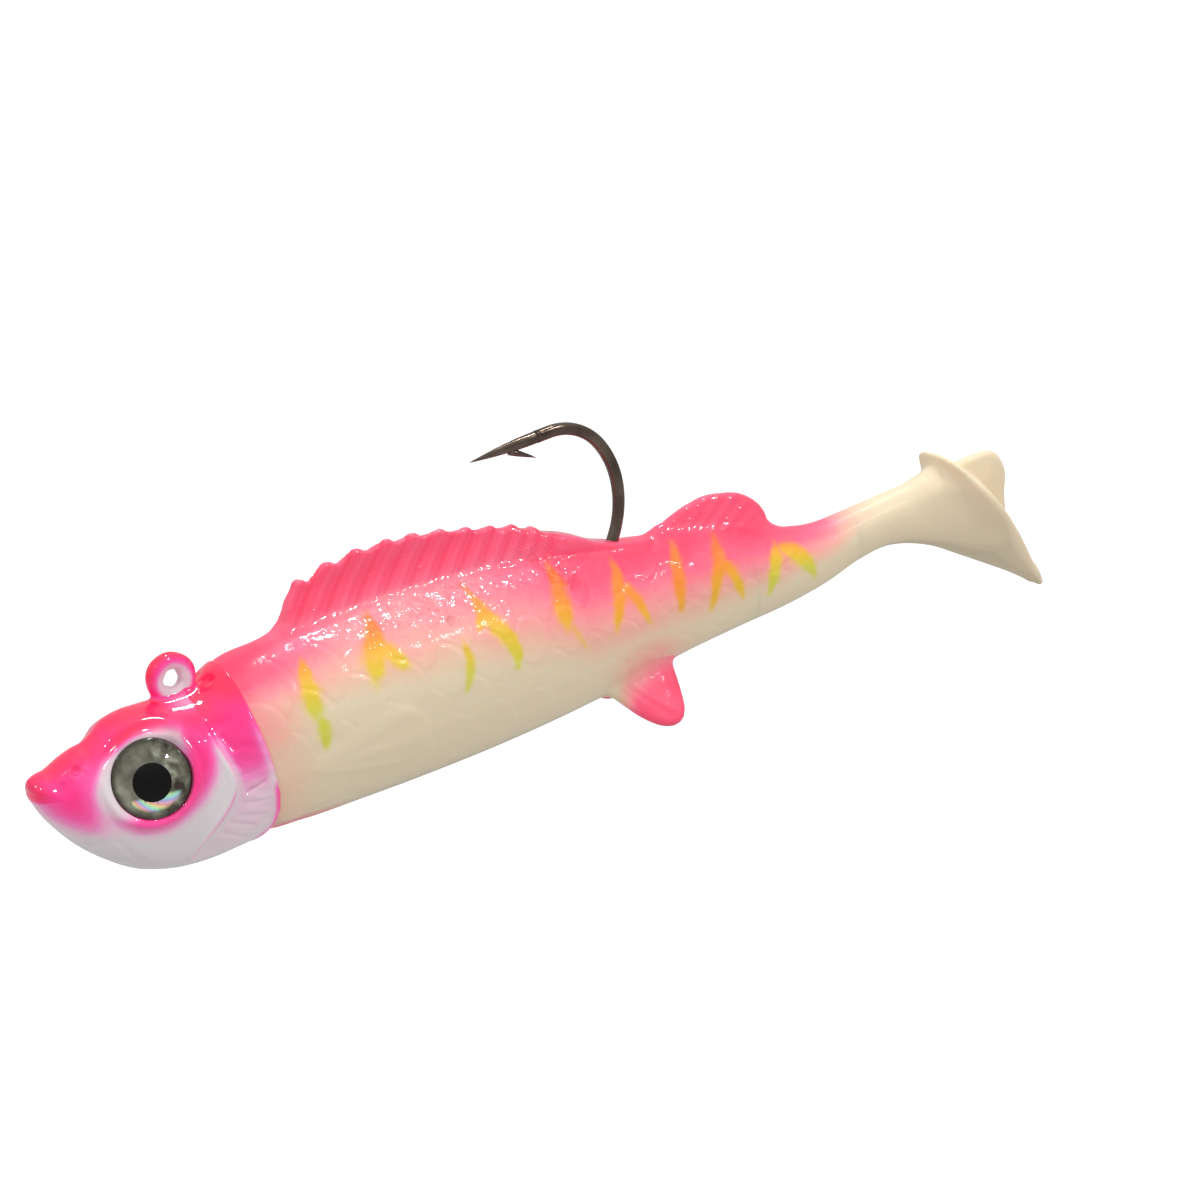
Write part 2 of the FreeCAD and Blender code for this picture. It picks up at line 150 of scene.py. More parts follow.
# Where the rays of the fins are pressed, along x.
FIRST_DORSAL_SPAN = (9.0, 46.0)
SECOND_DORSAL_SPAN = (48.0, 63.0)
PELVIC_SPAN = (40.5, 48.6)
PELVIC_ROOT = (2.2, -12.3)
PELVIC_SPREAD = math.radians(35.0)
RIGHT_FIN_SHORTER = 0.45
PLATE_TOP = (79.95, -2.45)
PLATE_FOOT = (89.60, -18.00)
PLATE_HALF_WIDTHS = [
    (0.3, 2.4), (1.4, 3.8), (3.8, 4.9), (6.4, 5.15), (9.0, 4.2), (12.0, 2.7), (15.1, 1.65), (17.3, 1.0),
]
LOBE_OUTLINE = [
    (80.5, -5.5), (81.8, -4.0), (84.4, -3.6), (86.2, -3.8), (87.0, -4.9), (87.25, -6.2), (86.85, -8.0),
    (86.4, -10.4), (84.0, -9.5),
]

SKIN_SPLITS = (57.5, 69.8)   # seams of the skin, in stretches that stay rigid
# Boxes that hold the head and the body, and the size of the cells that their surfaces are drawn with.
HEAD_BOX = ((-15.9, -7.2, -17.6), (7.2, 7.2, 1.8))
HEAD_CELL = 0.13
BODY_BOX = ((1.2, -7.4, -19.2), (90.6, 7.4, 7.2))
BODY_CELL = 0.26


# ---------------------------------------------------------------- shape functions

def slopes(xs, ys):
    """Slopes for a smooth curve through the points."""
    steps = np.diff(ys) / np.diff(xs)
    weights = np.diff(xs)
    inner = (steps[:-1] * weights[1:] + steps[1:] * weights[:-1]) / (weights[1:] + weights[:-1])
    return np.concatenate([[steps[0]], inner, [steps[-1]]])


def smooth_column(xs, ys, x):
    """A cubic curve through (xs, ys), read at x."""
    tangents = slopes(xs, ys)
    index = np.clip(np.searchsorted(xs, x) - 1, 0, len(xs) - 2)
    width = xs[index + 1] - xs[index]
    t = np.clip((x - xs[index]) / width, 0.0, 1.0)
    a = (1 + 2 * t) * (1 - t) ** 2
    b = t * (1 - t) ** 2
    c = t * t * (3 - 2 * t)
    d = t * t * (t - 1)
    return a * ys[index] + b * width * tangents[index] + c * ys[index + 1] + d * width * tangents[index + 1]


def smoothstep(low, high, value):
    """0 up to low and 1 past high, with a smooth rise between. It falls if low is the larger."""
    t = np.clip((value - low) / (high - low), 0.0, 1.0)
    return t * t * (3 - 2 * t)


def hill(distance, width):
    """1 at no distance, falling away smoothly past the width."""
    return np.exp(-(distance / width) ** 2)


def smooth_union(a, b, reach):
    """The nearer of two fields, with a fillet of the given reach."""
    h = np.clip(reach - np.abs(a - b), 0.0, None) / reach
    return np.minimum(a, b) - h * h * reach / 4.0


def smooth_cut(a, b, reach):
    """a with b taken away."""
    return -smooth_union(-a, b, reach)


def tube(table, x, y, z):
    """Distance-like field of a rounded body through the stations of a table."""
    columns = np.array(table, float).T
    xs = columns[0]
    top, bottom, half, upper, lower = [smooth_column(xs, column, x) for column in columns[1:]]
    middle = bottom + WIDEST_SHARE * (top - bottom)
    above = z > middle
    reach = np.where(above, top - middle, middle - bottom)
    fullness = np.where(above, upper, lower)
    rho = ((np.abs(y) / half) ** fullness + (np.abs(z - middle) / reach) ** fullness) ** (1.0 / fullness)
    radius = np.hypot(y, z - middle)
    side = radius - radius / (rho + 1e-6)
    return np.maximum(side, np.maximum(xs[0] - x, x - xs[-1]))


def closed_curve(points, step=0.35):
    """Points along a smooth closed curve through the given ones."""
    knots = np.array(points, float)
    count = len(knots)
    found = []
    for i in range(count):
        p0, p1, p2, p3 = (knots[(i + k) % count] for k in (-1, 0, 1, 2))
        pieces = max(2, int(math.dist(p1, p2) / step))
        for t in np.arange(pieces) / pieces:
            found.append(0.5 * (2 * p1 + (p2 - p0) * t + (2 * p0 - 5 * p1 + 4 * p2 - p3) * t * t
                                + (3 * p1 - p0 - 3 * p2 + p3) * t ** 3))
    return np.array(found)


def outline_distance(outline, x, z):
    """Signed distance to a closed outline in a plane, negative inside."""
    best = None
    inside = None
    for (x0, z0), (x1, z1) in zip(outline, np.roll(outline, -1, axis=0)):
        ex, ez = x1 - x0, z1 - z0
        t = np.clip(((x - x0) * ex + (z - z0) * ez) / (ex * ex + ez * ez + 1e-12), 0.0, 1.0)
        gap = (x - x0 - t * ex) ** 2 + (z - z0 - t * ez) ** 2
        crosses = ((z0 > z) != (z1 > z)) & (x < ex * (z - z0) / (ez if ez else 1e-12) + x0)
        best = gap if best is None else np.minimum(best, gap)
        inside = crosses if inside is None else inside ^ crosses
    return np.where(inside, -1.0, 1.0) * np.sqrt(best)


def line_distance(points, x, z):
    """Distance to an open line of points, and the share of its length at the nearest place."""
    points = np.array(points, float)
    lengths = np.linalg.norm(np.diff(points, axis=0), axis=1)
    starts = np.concatenate([[0.0], np.cumsum(lengths)])
    best = np.full(np.broadcast(x, z).shape, 1e9)
    share = np.zeros(best.shape)
    for i, length in enumerate(lengths):
        (x0, z0), (x1, z1) = points[i], points[i + 1]
        ex, ez = x1 - x0, z1 - z0
        t = np.clip(((x - x0) * ex + (z - z0) * ez) / (length * length), 0.0, 1.0)
        gap = np.hypot(x - x0 - t * ex, z - z0 - t * ez)
        nearer = gap < best
        best = np.where(nearer, gap, best)
        share = np.where(nearer, (starts[i] + t * length) / starts[-1], share)
    return best, share


def blade(flat, across, half, rounding):
    """A blade whose outline field is flat, with a rounded rim."""
    a = flat + rounding
    b = np.abs(across) - half + rounding
    return np.minimum(np.maximum(a, b), 0.0) + np.hypot(np.maximum(a, 0.0), np.maximum(b, 0.0)) - rounding


# ---------------------------------------------------------------- surfaces from fields

def field_on_grid(field, xs, ys, zs, slab=16):
    """The field at every point of a grid, a few slices at a time."""
    values = np.empty((len(xs), len(ys), len(zs)), np.float32)
    for start in range(0, len(xs), slab):
        part = xs[start:start + slab]
        values[start:start + slab] = field(part[:, None, None], ys[None, :, None], zs[None, None, :])
    return values


def surface_net(field, low, high, cell):
    """Vertices and quads of the surface where the field is zero."""
    axes = [np.arange(a, b + cell, cell) for a, b in zip(low, high)]
    values = field_on_grid(field, *axes)
    inside = values < 0
    shape = np.array(values.shape) - 1
    count = np.zeros(shape, np.int8)
    corners = [(i, j, k) for i in (0, 1) for j in (0, 1) for k in (0, 1)]
    for i, j, k in corners:
        count += inside[i:i + shape[0], j:j + shape[1], k:k + shape[2]]
    cells = np.argwhere((count > 0) & (count < 8))
    ids = np.full(shape, -1)
    ids[tuple(cells.T)] = np.arange(len(cells))
    total = np.zeros((len(cells), 3))
    hits = np.zeros(len(cells))
    for corner in corners:
        for axis in range(3):
            if corner[axis]:
                continue
            near = cells + corner
            far = near.copy()
            far[:, axis] += 1
            a = values[tuple(near.T)]
            b = values[tuple(far.T)]
            crossed = (a < 0) != (b < 0)
            point = np.tile(np.array(corner, float), (len(cells), 1))
            point[:, axis] += a / np.where(crossed, a - b, 1.0)
            total[crossed] += point[crossed]
            hits[crossed] += 1
    vertices = (cells + total / hits[:, None]) * cell + np.array(low)
    quads = []
    for axis in range(3):
        u, v = np.eye(3, dtype=int)[(axis + 1) % 3], np.eye(3, dtype=int)[(axis + 2) % 3]
        first = np.take(inside, range(0, inside.shape[axis] - 1), axis)
        second = np.take(inside, range(1, inside.shape[axis]), axis)
        places = np.argwhere(first != second)
        outward = first[tuple(places.T)]
        ring = [ids[tuple((places + shift).T)] for shift in (-u - v, -v, 0 * u, -u)]
        faces = np.stack(ring, axis=1)
        faces[~outward] = faces[~outward][:, ::-1]
        quads.append(faces)
    return vertices, np.concatenate(quads)


def read_field(field, points, chunk=6000):
    """The field at scattered points, taken in order along x so that distant shapes are skipped."""
    order = np.argsort(points[:, 0])
    found = np.empty(len(points))
    for start in range(0, len(points), chunk):
        some = order[start:start + chunk]
        found[some] = field(points[some, 0], points[some, 1], points[some, 2])
    return found


def settle(field, points, rounds=2, nudge=0.03):
    """Moves points onto the surface and returns them with the outward directions."""
    for _ in range(rounds):
        value = read_field(field, points)
        steps = [read_field(field, points + nudge * axis) - value for axis in np.eye(3)]
        slope = np.stack(steps, axis=1) / nudge
        size = np.sum(slope ** 2, axis=1) + 1e-9
        points = points - slope * np.clip(value / size, -0.3, 0.3)[:, None]
    return points, slope / np.sqrt(size)[:, None]


def relax(points, quads, rounds, share=0.5):
    """Evens the vertices out by moving each towards the mean of its neighbours."""
    edges = np.concatenate([quads[:, [i, (i + 1) % 4]] for i in range(4)])
    edges = np.concatenate([edges, edges[:, ::-1]])
    degree = np.bincount(edges[:, 0], minlength=len(points))
    for _ in range(rounds):
        sums = [np.bincount(edges[:, 0], points[edges[:, 1], k], len(points)) for k in range(3)]
        mean = np.stack(sums, axis=1)
        points = points + share * (mean / degree[:, None] - points)
    return points


def vertex_normals(points, quads):
    """Outward directions at the vertices, from the quads round each."""
    across = points[quads[:, 2]] - points[quads[:, 0]]
    along = points[quads[:, 3]] - points[quads[:, 1]]
    face = np.cross(across, along)
    total = np.zeros_like(points)
    for corner in range(4):
        for k in range(3):
            total[:, k] += np.bincount(quads[:, corner], face[:, k], len(points))
    return total / (np.linalg.norm(total, axis=1)[:, None] + 1e-12)


# ---------------------------------------------------------------- Blender helpers

def add_mesh(name, points, faces, material, values=None):
    """A smooth mesh object from points in millimetres, with named values at its vertices."""
    mesh = bpy.data.meshes.new(name)
    mesh.from_pydata((np.asarray(points) * MM).tolist(), [], [list(map(int, face)) for face in faces])
    for key, value in (values or {}).items():
        kind = "FLOAT_VECTOR" if value.ndim == 2 else "FLOAT"
        attribute = mesh.attributes.new(key, kind, "POINT")
        attribute.data.foreach_set("vector" if value.ndim == 2 else "value", value.astype(np.float32).ravel())
    mesh.polygons.foreach_set("use_smooth", [True] * len(mesh.polygons))
    mesh.materials.append(material)
    mesh.update()
    thing = bpy.data.objects.new(name, mesh)
    bpy.context.scene.collection.objects.link(thing)
    return thing


class Nodes:
    """Short calls for building one material's node tree."""

    def __init__(self, name):
        self.material = bpy.data.materials.new(name)
        self.material.use_nodes = True
        self.tree = self.material.node_tree
        self.shader = self.tree.nodes["Principled BSDF"]
        self.output = self.tree.nodes["Material Output"]

    def put(self, target, value):
        """Links a node's output, or sets a number or colour."""
        if isinstance(value, bpy.types.NodeSocket):
            self.tree.links.new(value, target)
        else:
            target.default_value = value

    def node(self, kind, inputs=None, output=0, **settings):
        made = self.tree.nodes.new(kind)
        for key, value in settings.items():
            setattr(made, key, value)
        for key, value in (inputs or {}).items():
            self.put(made.inputs[key], value)
        return made.outputs[output]

    def math(self, operation, a, b=0.0, c=0.0):
        return self.node("ShaderNodeMath", {0: a, 1: b, 2: c}, operation=operation)

    def times(self, a, b):
        return self.math("MULTIPLY", a, b)

    def plus(self, a, b):
        return self.math("ADD", a, b)

    def scaled(self, value, factor, offset):
        return self.math("MULTIPLY_ADD", value, factor, offset)

    def rest_of(self, share):
        """What a share leaves of 1."""
        return self.math("SUBTRACT", 1.0, share)

    def vector(self, operation, a, b, output=0):
        return self.node("ShaderNodeVectorMath", {0: a, 1: b}, output, operation=operation)

    def fade(self, value, start, end, low=0.0, high=1.0):
        """Goes smoothly from low to high as the value goes from start to end."""
        inputs = {"Value": value, 1: start, 2: end, 3: low, 4: high}
        return self.node("ShaderNodeMapRange", inputs, interpolation_type="SMOOTHSTEP")

    def value(self, name):
        """A number painted on the vertices."""
        return self.node("ShaderNodeAttribute", output=2, attribute_name=name)

    def place(self):
        """The position in millimetres on the unbent shape."""
        return self.node("ShaderNodeAttribute", output=1, attribute_name="rest")

    def noise(self, vector, scale, detail=2.0, output=0):
        inputs = {"Vector": vector, "Scale": scale, "Detail": detail}
        return self.node("ShaderNodeTexNoise", inputs, output)

    def ramp(self, factor, stops):
        """Colours along a factor. stops are (position, colour)."""
        made = self.tree.nodes.new("ShaderNodeValToRGB")
        while len(made.color_ramp.elements) < len(stops):
            made.color_ramp.elements.new(0.5)
        for element, (position, colour) in zip(made.color_ramp.elements, stops):
            element.position = position
            element.color = linear(colour)
        self.put(made.inputs[0], factor)
        return made.outputs[0]

    def mix(self, factor, a, b):
        """Colour a going over to colour b."""
        made = self.tree.nodes.new("ShaderNodeMix")
        made.data_type = "RGBA"
        for socket, value in ((made.inputs[0], factor), (made.inputs[6], a), (made.inputs[7], b)):
            self.put(socket, linear(value) if isinstance(value, tuple) and len(value) == 3 else value)
        return made.outputs[2]

    def bump(self, height, strength, distance):
        inputs = {"Height": height, "Strength": strength, "Distance": distance * MM}
        return self.node("ShaderNodeBump", inputs)

    def set(self, **values):
        """Values of the main shader, by socket name with underscores."""
        for key, value in values.items():
            socket = self.shader.inputs[key.replace("_", " ")]
            self.put(socket, linear(value) if isinstance(value, tuple) and len(value) == 3
                     and socket.type == "RGBA" else value)


def linear(colour):
    """A display colour from 0 to 255 as linear light with alpha."""
    share = [c / 255.0 for c in colour[:3]]
    return tuple(c / 12.92 if c <= 0.04045 else ((c + 0.055) / 1.055) ** 2.4 for c in share) + (1.0,)


# Strength of the painted glow that stands in for the fluorescent pinks: a fixed emission of pink light, the
# same whatever light falls on it.
HEAD_PAINTED_GLOW = 0.10
SKIN_PAINTED_GLOW = 0.13


# ---------------------------------------------------------------- head

# Lines of the cast detail, seen from the side: (x, z).
CHEEK_EDGE = [
    (0.8, -3.5), (1.1, -5.2), (1.45, -6.7), (1.8, -8.1), (1.85, -9.3), (1.45, -10.5), (0.65, -11.6),
    (-0.45, -12.8), (-1.5, -14.0), (-2.3, -15.1),
]
# Slots in the gill cover: line, depth and width.
GILL_SLOTS = [
    ([(2.9, -10.3), (4.5, -9.75)], 0.30, 0.16),
    ([(2.4, -11.3), (4.9, -11.5)], 0.10, 0.16),
    ([(1.9, -12.3), (4.4, -12.9)], 0.10, 0.18),
    ([(1.0, -12.9), (3.2, -13.6)], 0.16, 0.22),
    ([(0.4, -13.8), (2.6, -14.7)], 0.09, 0.20),
    ([(2.3, -8.7), (4.9, -8.4)], 0.07, 0.18),
    ([(1.9, -5.0), (2.5, -6.3)], 0.16, 0.24),
    ([(2.3, -7.4), (2.6, -7.9)], 0.14, 0.18),
]
JAW_GROOVES = [
    [(-10.2, -11.6), (-9.4, -12.8), (-8.4, -14.1)],
    [(-9.0, -11.8), (-8.0, -13.2), (-6.8, -14.6)],
    [(-11.4, -10.6), (-10.8, -11.8)],
]
MOUTH_LINE = [(-15.2, -6.0), (-14.3, -6.4), (-13.4, -6.9)]
NOSTRIL = (-11.1, -4.75)
# Small beads of lacquer and casting lumps on each side of the face: x, z, height, width.
FACE_BEADS = [
    (-12.5, -5.25, 0.15, 0.22), (-12.1, -4.85, 0.12, 0.20), (-11.75, -5.2, 0.10, 0.25),
    (-10.35, -4.85, 0.14, 0.27), (-10.9, -4.3, 0.08, 0.25),
]
# Slight flats in the lacquer: x, z, slope along x, slope along z, width.
LACQUER_FLATS = [
    (-14.5, -5.5, 0.20, -0.25, 0.70), (-13.25, -6.15, -0.20, -0.12, 0.75),
    (-7.6, -3.2, 0.087, 0.042, 0.9), (-1.3, -3.8, -0.30, -0.035, 0.9), (-2.1, -3.7, -0.25, 0.02, 0.8),
]
# Raised rims: height, distance from the edge of the eye, cheek or gill cover, and width.
LIP = (0.20, 0.65, 0.36)          # thin ring below the eye
BROW = (0.28, 1.30, 0.55)         # heavier ring above it
CHEEK_RIM = (0.13, 0.35, 0.30)
COLLAR_RIM = (0.13, 0.40, 0.35)
# Hollows of the face: depth and width.
JAW_GROOVE = (0.09, 0.35)
MOUTH = (0.07, 0.22)
NOSTRIL_PIT = (0.40, 0.36)
GILL_STEP = 0.34                  # how far the gill cover lies below the cheek
GILL_RAY_HEIGHT = 0.03
# Behind the ring: a dimple on each side and two drips of lacquer, as centre and radius.
DIMPLE = ((2.75, 1.25, -0.55), 0.55)
DRIPS = [((2.05, -0.15, -1.5), 0.42), ((2.35, 0.45, -1.25), 0.36)]
DRIP_JOINTS = (0.25, 0.3)


def smooth_line(points, step=0.3):
    """Points along a smooth open curve through the given ones."""
    knots = np.array(points, float)
    along = np.concatenate([[0.0], np.cumsum(np.linalg.norm(np.diff(knots, axis=0), axis=1))])
    places = np.linspace(0.0, along[-1], max(3, int(along[-1] / step)))
    return np.stack([smooth_column(along, column, places) for column in knots.T], axis=1)


CHEEK_CURVE = smooth_line(CHEEK_EDGE)


def behind_collar(x, z):
    """Distance behind the rear edge of the gill covers."""
    heights, places = np.array(COLLAR_EDGE[::-1], float).T
    return x - smooth_column(heights, places, z)


def behind_cheek(x, z):
    """Signed distance behind the rear edge of the cheek plate."""
    gap, _ = line_distance(CHEEK_CURVE, x, z)
    edge = np.interp(z, CHEEK_CURVE[::-1, 1], CHEEK_CURVE[::-1, 0])
    return np.where(x > edge, gap, -gap)


def ring_field(x, y, z, tube_radius):
    """Distance from the line-tie ring, about the y axis."""
    return np.hypot(np.hypot(x, z) - RING_RADIUS, y) - tube_radius


def ball(x, y, z, centre, radius):
    """Distance from a sphere."""
    return np.sqrt((x - centre[0]) ** 2 + (y - centre[1]) ** 2 + (z - centre[2]) ** 2) - radius


def eye_reach(x, y, z):
    """Distance from an eye's axis, and height above its seat, on the nearer side."""
    normal = np.array(EYE_NORMAL) / np.linalg.norm(EYE_NORMAL)
    dx, dy, dz = x - EYE_CENTRE[0], np.abs(y) - EYE_CENTRE[1], z - EYE_CENTRE[2]
    height = dx * normal[0] + dy * normal[1] + dz * normal[2]
    away = np.sqrt(np.maximum(dx * dx + dy * dy + dz * dz - height * height, 0.0))
    return away, height


def head_field(x, y, z):
    """The plain casting with its eye seats, the rise to the ring, a dimple and two drips behind it."""
    body = tube(HEAD_STATIONS, x, y, z)
    away, height = eye_reach(x, y, z)
    socket = np.maximum(away - (EYE_RADIUS + 0.40), np.maximum(height - 0.16, -height - 1.0))
    body = smooth_union(body, socket, 1.2)
    root = np.maximum(ring_field(x, y, z, RING_ROOT_TUBE), z + 0.95)
    body = smooth_union(body, root, 0.9)
    body = smooth_cut(body, ball(x, np.abs(y), z, *DIMPLE), 0.7)
    for (centre, radius), reach in zip(DRIPS, DRIP_JOINTS):
        body = smooth_union(body, ball(x, y, z, centre, radius), reach)
    body = smooth_cut(body, -behind_collar(x, z), 0.25)
    seat = np.maximum(away - (EYE_RADIUS + 0.07), -height)
    return smooth_cut(body, seat, 0.2)


def eye_rim_relief(x, z, away):
    """Raised rings round an eye: a thin lip below it and a heavier brow above."""
    upper = smoothstep(-0.5, 0.6, (z - EYE_CENTRE[2]) / (away + 0.01))
    rearward = smoothstep(-0.2, 0.8, (x - EYE_CENTRE[0]) / (away + 0.01))
    beyond = away - EYE_RADIUS
    lip = LIP[0] * hill(beyond - LIP[1], LIP[2]) * (1 - upper)
    brow = BROW[0] * hill(beyond - BROW[1] - 0.35 * rearward, BROW[2]) * upper
    return lip + brow


def gill_relief(x, z, side):
    """Step from the cheek down to the gill cover, with its slots and fine rays."""
    behind = behind_cheek(x, z)
    zone = side * smoothstep(-2.8, -4.2, z) * smoothstep(-16.0, -15.0, z)
    relief = CHEEK_RIM[0] * hill(behind + CHEEK_RIM[1], CHEEK_RIM[2]) * zone
    relief -= GILL_STEP * smoothstep(-0.12, 0.28, behind) * smoothstep(3.4, 0.3, behind) * zone
    for slot, depth, width in GILL_SLOTS:
        relief -= depth * hill(line_distance(slot, x, z)[0], width) * side
    rays = np.sin((z + 0.25 * (x - 2.0)) * 4.6 + 0.8 * np.sin(x * 1.7))
    fan = smoothstep(0.4, 1.2, behind) * side * smoothstep(-14.8, -13.5, z) * smoothstep(-5.0, -6.5, z)
    return relief + GILL_RAY_HEIGHT * rays * fan


def face_relief(x, y, z, sideways):
    """Grooves of the jaw, flats of the lacquer, mouth, nostril and beads of lacquer."""
    relief = np.zeros(len(x))
    for groove in JAW_GROOVES:
        relief -= JAW_GROOVE[0] * hill(line_distance(groove, x, z)[0], JAW_GROOVE[1])
    for flat_x, flat_z, slope_x, slope_z, wide in LACQUER_FLATS:
        near = hill(np.hypot(x - flat_x, z - flat_z), wide)
        relief += (slope_x * (x - flat_x) + slope_z * (z - flat_z)) * near * sideways
    gap, along = line_distance(MOUTH_LINE, x, z)
    relief -= MOUTH[0] * hill(gap, MOUTH[1]) * (1 - along * 0.6)
    pit = np.hypot((x - NOSTRIL[0]) / 1.5, z - NOSTRIL[1] - 0.2 * (x - NOSTRIL[0]))
    relief -= NOSTRIL_PIT[0] * hill(pit, NOSTRIL_PIT[1]) * (np.abs(y) > 1.0)
    for bead_x, bead_z, bead_height, wide in FACE_BEADS:
        relief += bead_height * hill(np.hypot(x - bead_x, z - bead_z), wide) * (np.abs(y) > 0.8)
    return relief


def head_relief(points, normals):
    """How far the cast detail stands out of the plain head."""
    x, y, z = points.T
    side = smoothstep(0.3, 0.7, np.abs(normals[:, 1]))
    sideways = smoothstep(0.05, 0.4, np.abs(normals[:, 1]))
    away, height = eye_reach(x, y, z)
    relief = eye_rim_relief(x, z, away) * sideways + gill_relief(x, z, side)
    relief += face_relief(x, y, z, sideways)
    rim = behind_collar(x, z) + COLLAR_RIM[1]
    relief += COLLAR_RIM[0] * hill(rim, COLLAR_RIM[2]) * smoothstep(-2.5, -5.0, z)
    outside_eye = smoothstep(EYE_RADIUS + 0.12, EYE_RADIUS + 0.6, away)
    return relief * np.clip(outside_eye + (height < -0.5), 0, 1)


# White halo round the eye, by angle from the rear: how far it reaches, and its strength. Around 42 degrees it
# reaches furthest, under the painted shade wedge, and the two together make a grey.
HALO = [
    (-180, 1.35, 0.95), (-150, 1.10, 0.85), (-130, 0.50, 0.60), (-112, 0.0, 0.0), (-10, 0.0, 0.0),
    (20, 0.45, 0.35), (42, 1.50, 0.85), (60, 1.10, 0.85), (75, 0.75, 0.88), (90, 0.55, 0.90),
    (110, 0.42, 0.90), (128, 0.45, 0.92), (150, 0.95, 0.95), (180, 1.35, 0.95),
]
# How far from the eye's middle the pink goes, by the same angle.
PINK_REACH = [
    (-180, 10.4), (-172, 9.6), (-163, 8.5), (-152, 7.3), (-140, 6.1), (-126, 5.0), (-101, 4.85),
    (-65, 4.8), (-52, 4.9), (-38, 5.1), (-25, 5.4), (-11, 5.8), (0, 6.2), (10, 6.7), (20, 7.6),
    (35, 9.5), (60, 13.0), (179, 13.0), (180, 10.4),
]
# Passes of the airbrush that thin the pink: x, z, reach along and across, lean in degrees, strength.
PALE_PASSES = [
    (-9.8, -8.3, 2.8, 1.25, 96.0, 0.70), (-8.7, -10.9, 1.8, 0.8, 130.0, 0.50),
    (0.2, -1.9, 1.9, 0.7, 0.0, 0.62), (2.3, -6.2, 1.2, 0.35, 110.0, 0.45),
    (3.2, -7.4, 1.2, 0.8, 60.0, 0.25),
]
# Pink of the gill cover by height.
GILL_PINK = [
    (-17.0, 0.06), (-14.0, 0.10), (-11.0, 0.17), (-9.6, 0.32), (-8.6, 0.52), (-7.4, 0.80), (-6.0, 0.95),
    (-3.0, 1.0),
]
# Display colours by cover of pink.
PAINT_STOPS = [
    (0.02, (232, 223, 226)), (0.20, (240, 204, 220)), (0.42, (250, 146, 204)), (0.68, (255, 90, 172)),
    (1.0, (255, 44, 136)),
]
RED_PAINT = (250, 26, 64)
# Colour of the painted shade round the eyes.
PAINTED_SHADOW = (70, 30, 36)
# Colour of the head's painted glow.
HEAD_PAINTED_GLOW_PINK = (255, 50, 140)
BLACK = (0, 0, 0)


def eye_paint(x, z, away, normals):
    """Pink fading out round an eye, less the white halo, and the painted shade in and above the eye's seat.
    """
    angle = np.degrees(np.arctan2(z - EYE_CENTRE[2], x - EYE_CENTRE[0]))
    beyond = away - EYE_RADIUS
    angles, reaches, strengths = np.array(HALO, float).T
    reach = np.interp(angle, angles, reaches)
    softness = 0.30 + 0.38 * reach
    halo = np.interp(angle, angles, strengths) * smoothstep(reach + softness, reach - softness, beyond)
    halo *= smoothstep(0.0, 0.3, reach) * smoothstep(0.05, 0.3, np.abs(normals[:, 1]))
    limit = np.interp(angle, *np.array(PINK_REACH, float).T)
    fade = 1.0 + 0.8 * smoothstep(-120.0, -150.0, angle)
    pink = smoothstep(1.0 * fade, -1.7 * fade, away - limit) * (1 - halo)
    # Painted shade: a grey wedge above and behind the eye, under the brow, and a dark crescent along the
    # eye's lower rear edge, where the gap of its seat lies in shadow.
    wedge = hill(angle - 42.0, 26.0) * smoothstep(1.9, 0.3, beyond)
    crescent = smoothstep(0.34, 0.12, beyond) * smoothstep(-105.0, -40.0, angle)
    crescent *= smoothstep(50.0, 10.0, angle)
    return pink, np.maximum(0.42 * wedge, 0.85 * crescent)


def thin_pink(pink, x, z):
    """Takes the pale passes of the airbrush out of the pink."""
    for pass_x, pass_z, long, wide, lean, strength in PALE_PASSES:
        turn = math.radians(lean)
        along = (x - pass_x) * math.cos(turn) + (z - pass_z) * math.sin(turn)
        across = (z - pass_z) * math.cos(turn) - (x - pass_x) * math.sin(turn)
        pink = pink * (1 - strength * np.exp(-(along / long) ** 2 - (across / wide) ** 2))
    return pink


def gill_paint(pink, x, z):
    """Puts the gill cover's pink over the rest, with pale rims, pink lines and pink underneath."""
    behind, rim = behind_cheek(x, z), behind_collar(x, z)
    gill = np.interp(z, *np.array(GILL_PINK, float).T)
    pale_edge = hill(behind - 0.35, 0.4) * smoothstep(-4.0, -5.5, z)
    pale_rim = hill(rim + 0.35, 0.45) * smoothstep(-3.5, -6.0, z) * smoothstep(-12.0, -10.0, z)
    gill = gill * (1 - 0.55 * pale_edge) * (1 - 0.5 * pale_rim)
    on_gill = smoothstep(-0.35, 0.35, behind)
    pink = pink * (1 - on_gill) + gill * on_gill
    pink *= 1 - 0.45 * hill(behind + 0.35, 0.45) * smoothstep(-4.0, -6.0, z)
    line = hill(behind + 0.05, 0.26) * smoothstep(-9.2, -10.6, z)
    edge = hill(rim + 0.15, 0.45) * smoothstep(-9.0, -11.5, z)
    foot = smoothstep(3.4, 5.0, x) * smoothstep(-14.2, -15.8, z)
    bottom = smoothstep(-15.9, -16.6, z) * smoothstep(-1.0, 2.0, x)
    for cover, strength in ((line, 0.42), (edge, 0.85), (foot, 0.80), (bottom, 0.35)):
        pink = np.maximum(pink, strength * cover)
    return pink


def red_paint(x, z, upward):
    """Red on the upper faces, the tip of the snout and the hump behind the ring."""
    top = smoothstep(0.40, 0.90, upward) * smoothstep(-6.6, -4.2, z)
    tip = smoothstep(-13.4, -14.9, x) * smoothstep(-7.4, -6.0, z)
    hump = smoothstep(1.4, 2.8, x) * smoothstep(-3.6, -1.2, z)
    return np.maximum(np.maximum(0.90 * top, 0.75 * tip), 0.90 * hump)


def head_paint(points, normals):
    """Airbrush masks at the vertices: pink cover, red cover and painted shade."""
    x, y, z = points.T
    away, _ = eye_reach(x, y, z)
    pink, shade = eye_paint(x, z, away, normals)
    pink = gill_paint(thin_pink(pink, x, z), x, z)
    return {"pink": pink, "red": red_paint(x, z, normals[:, 2]), "shade": shade}


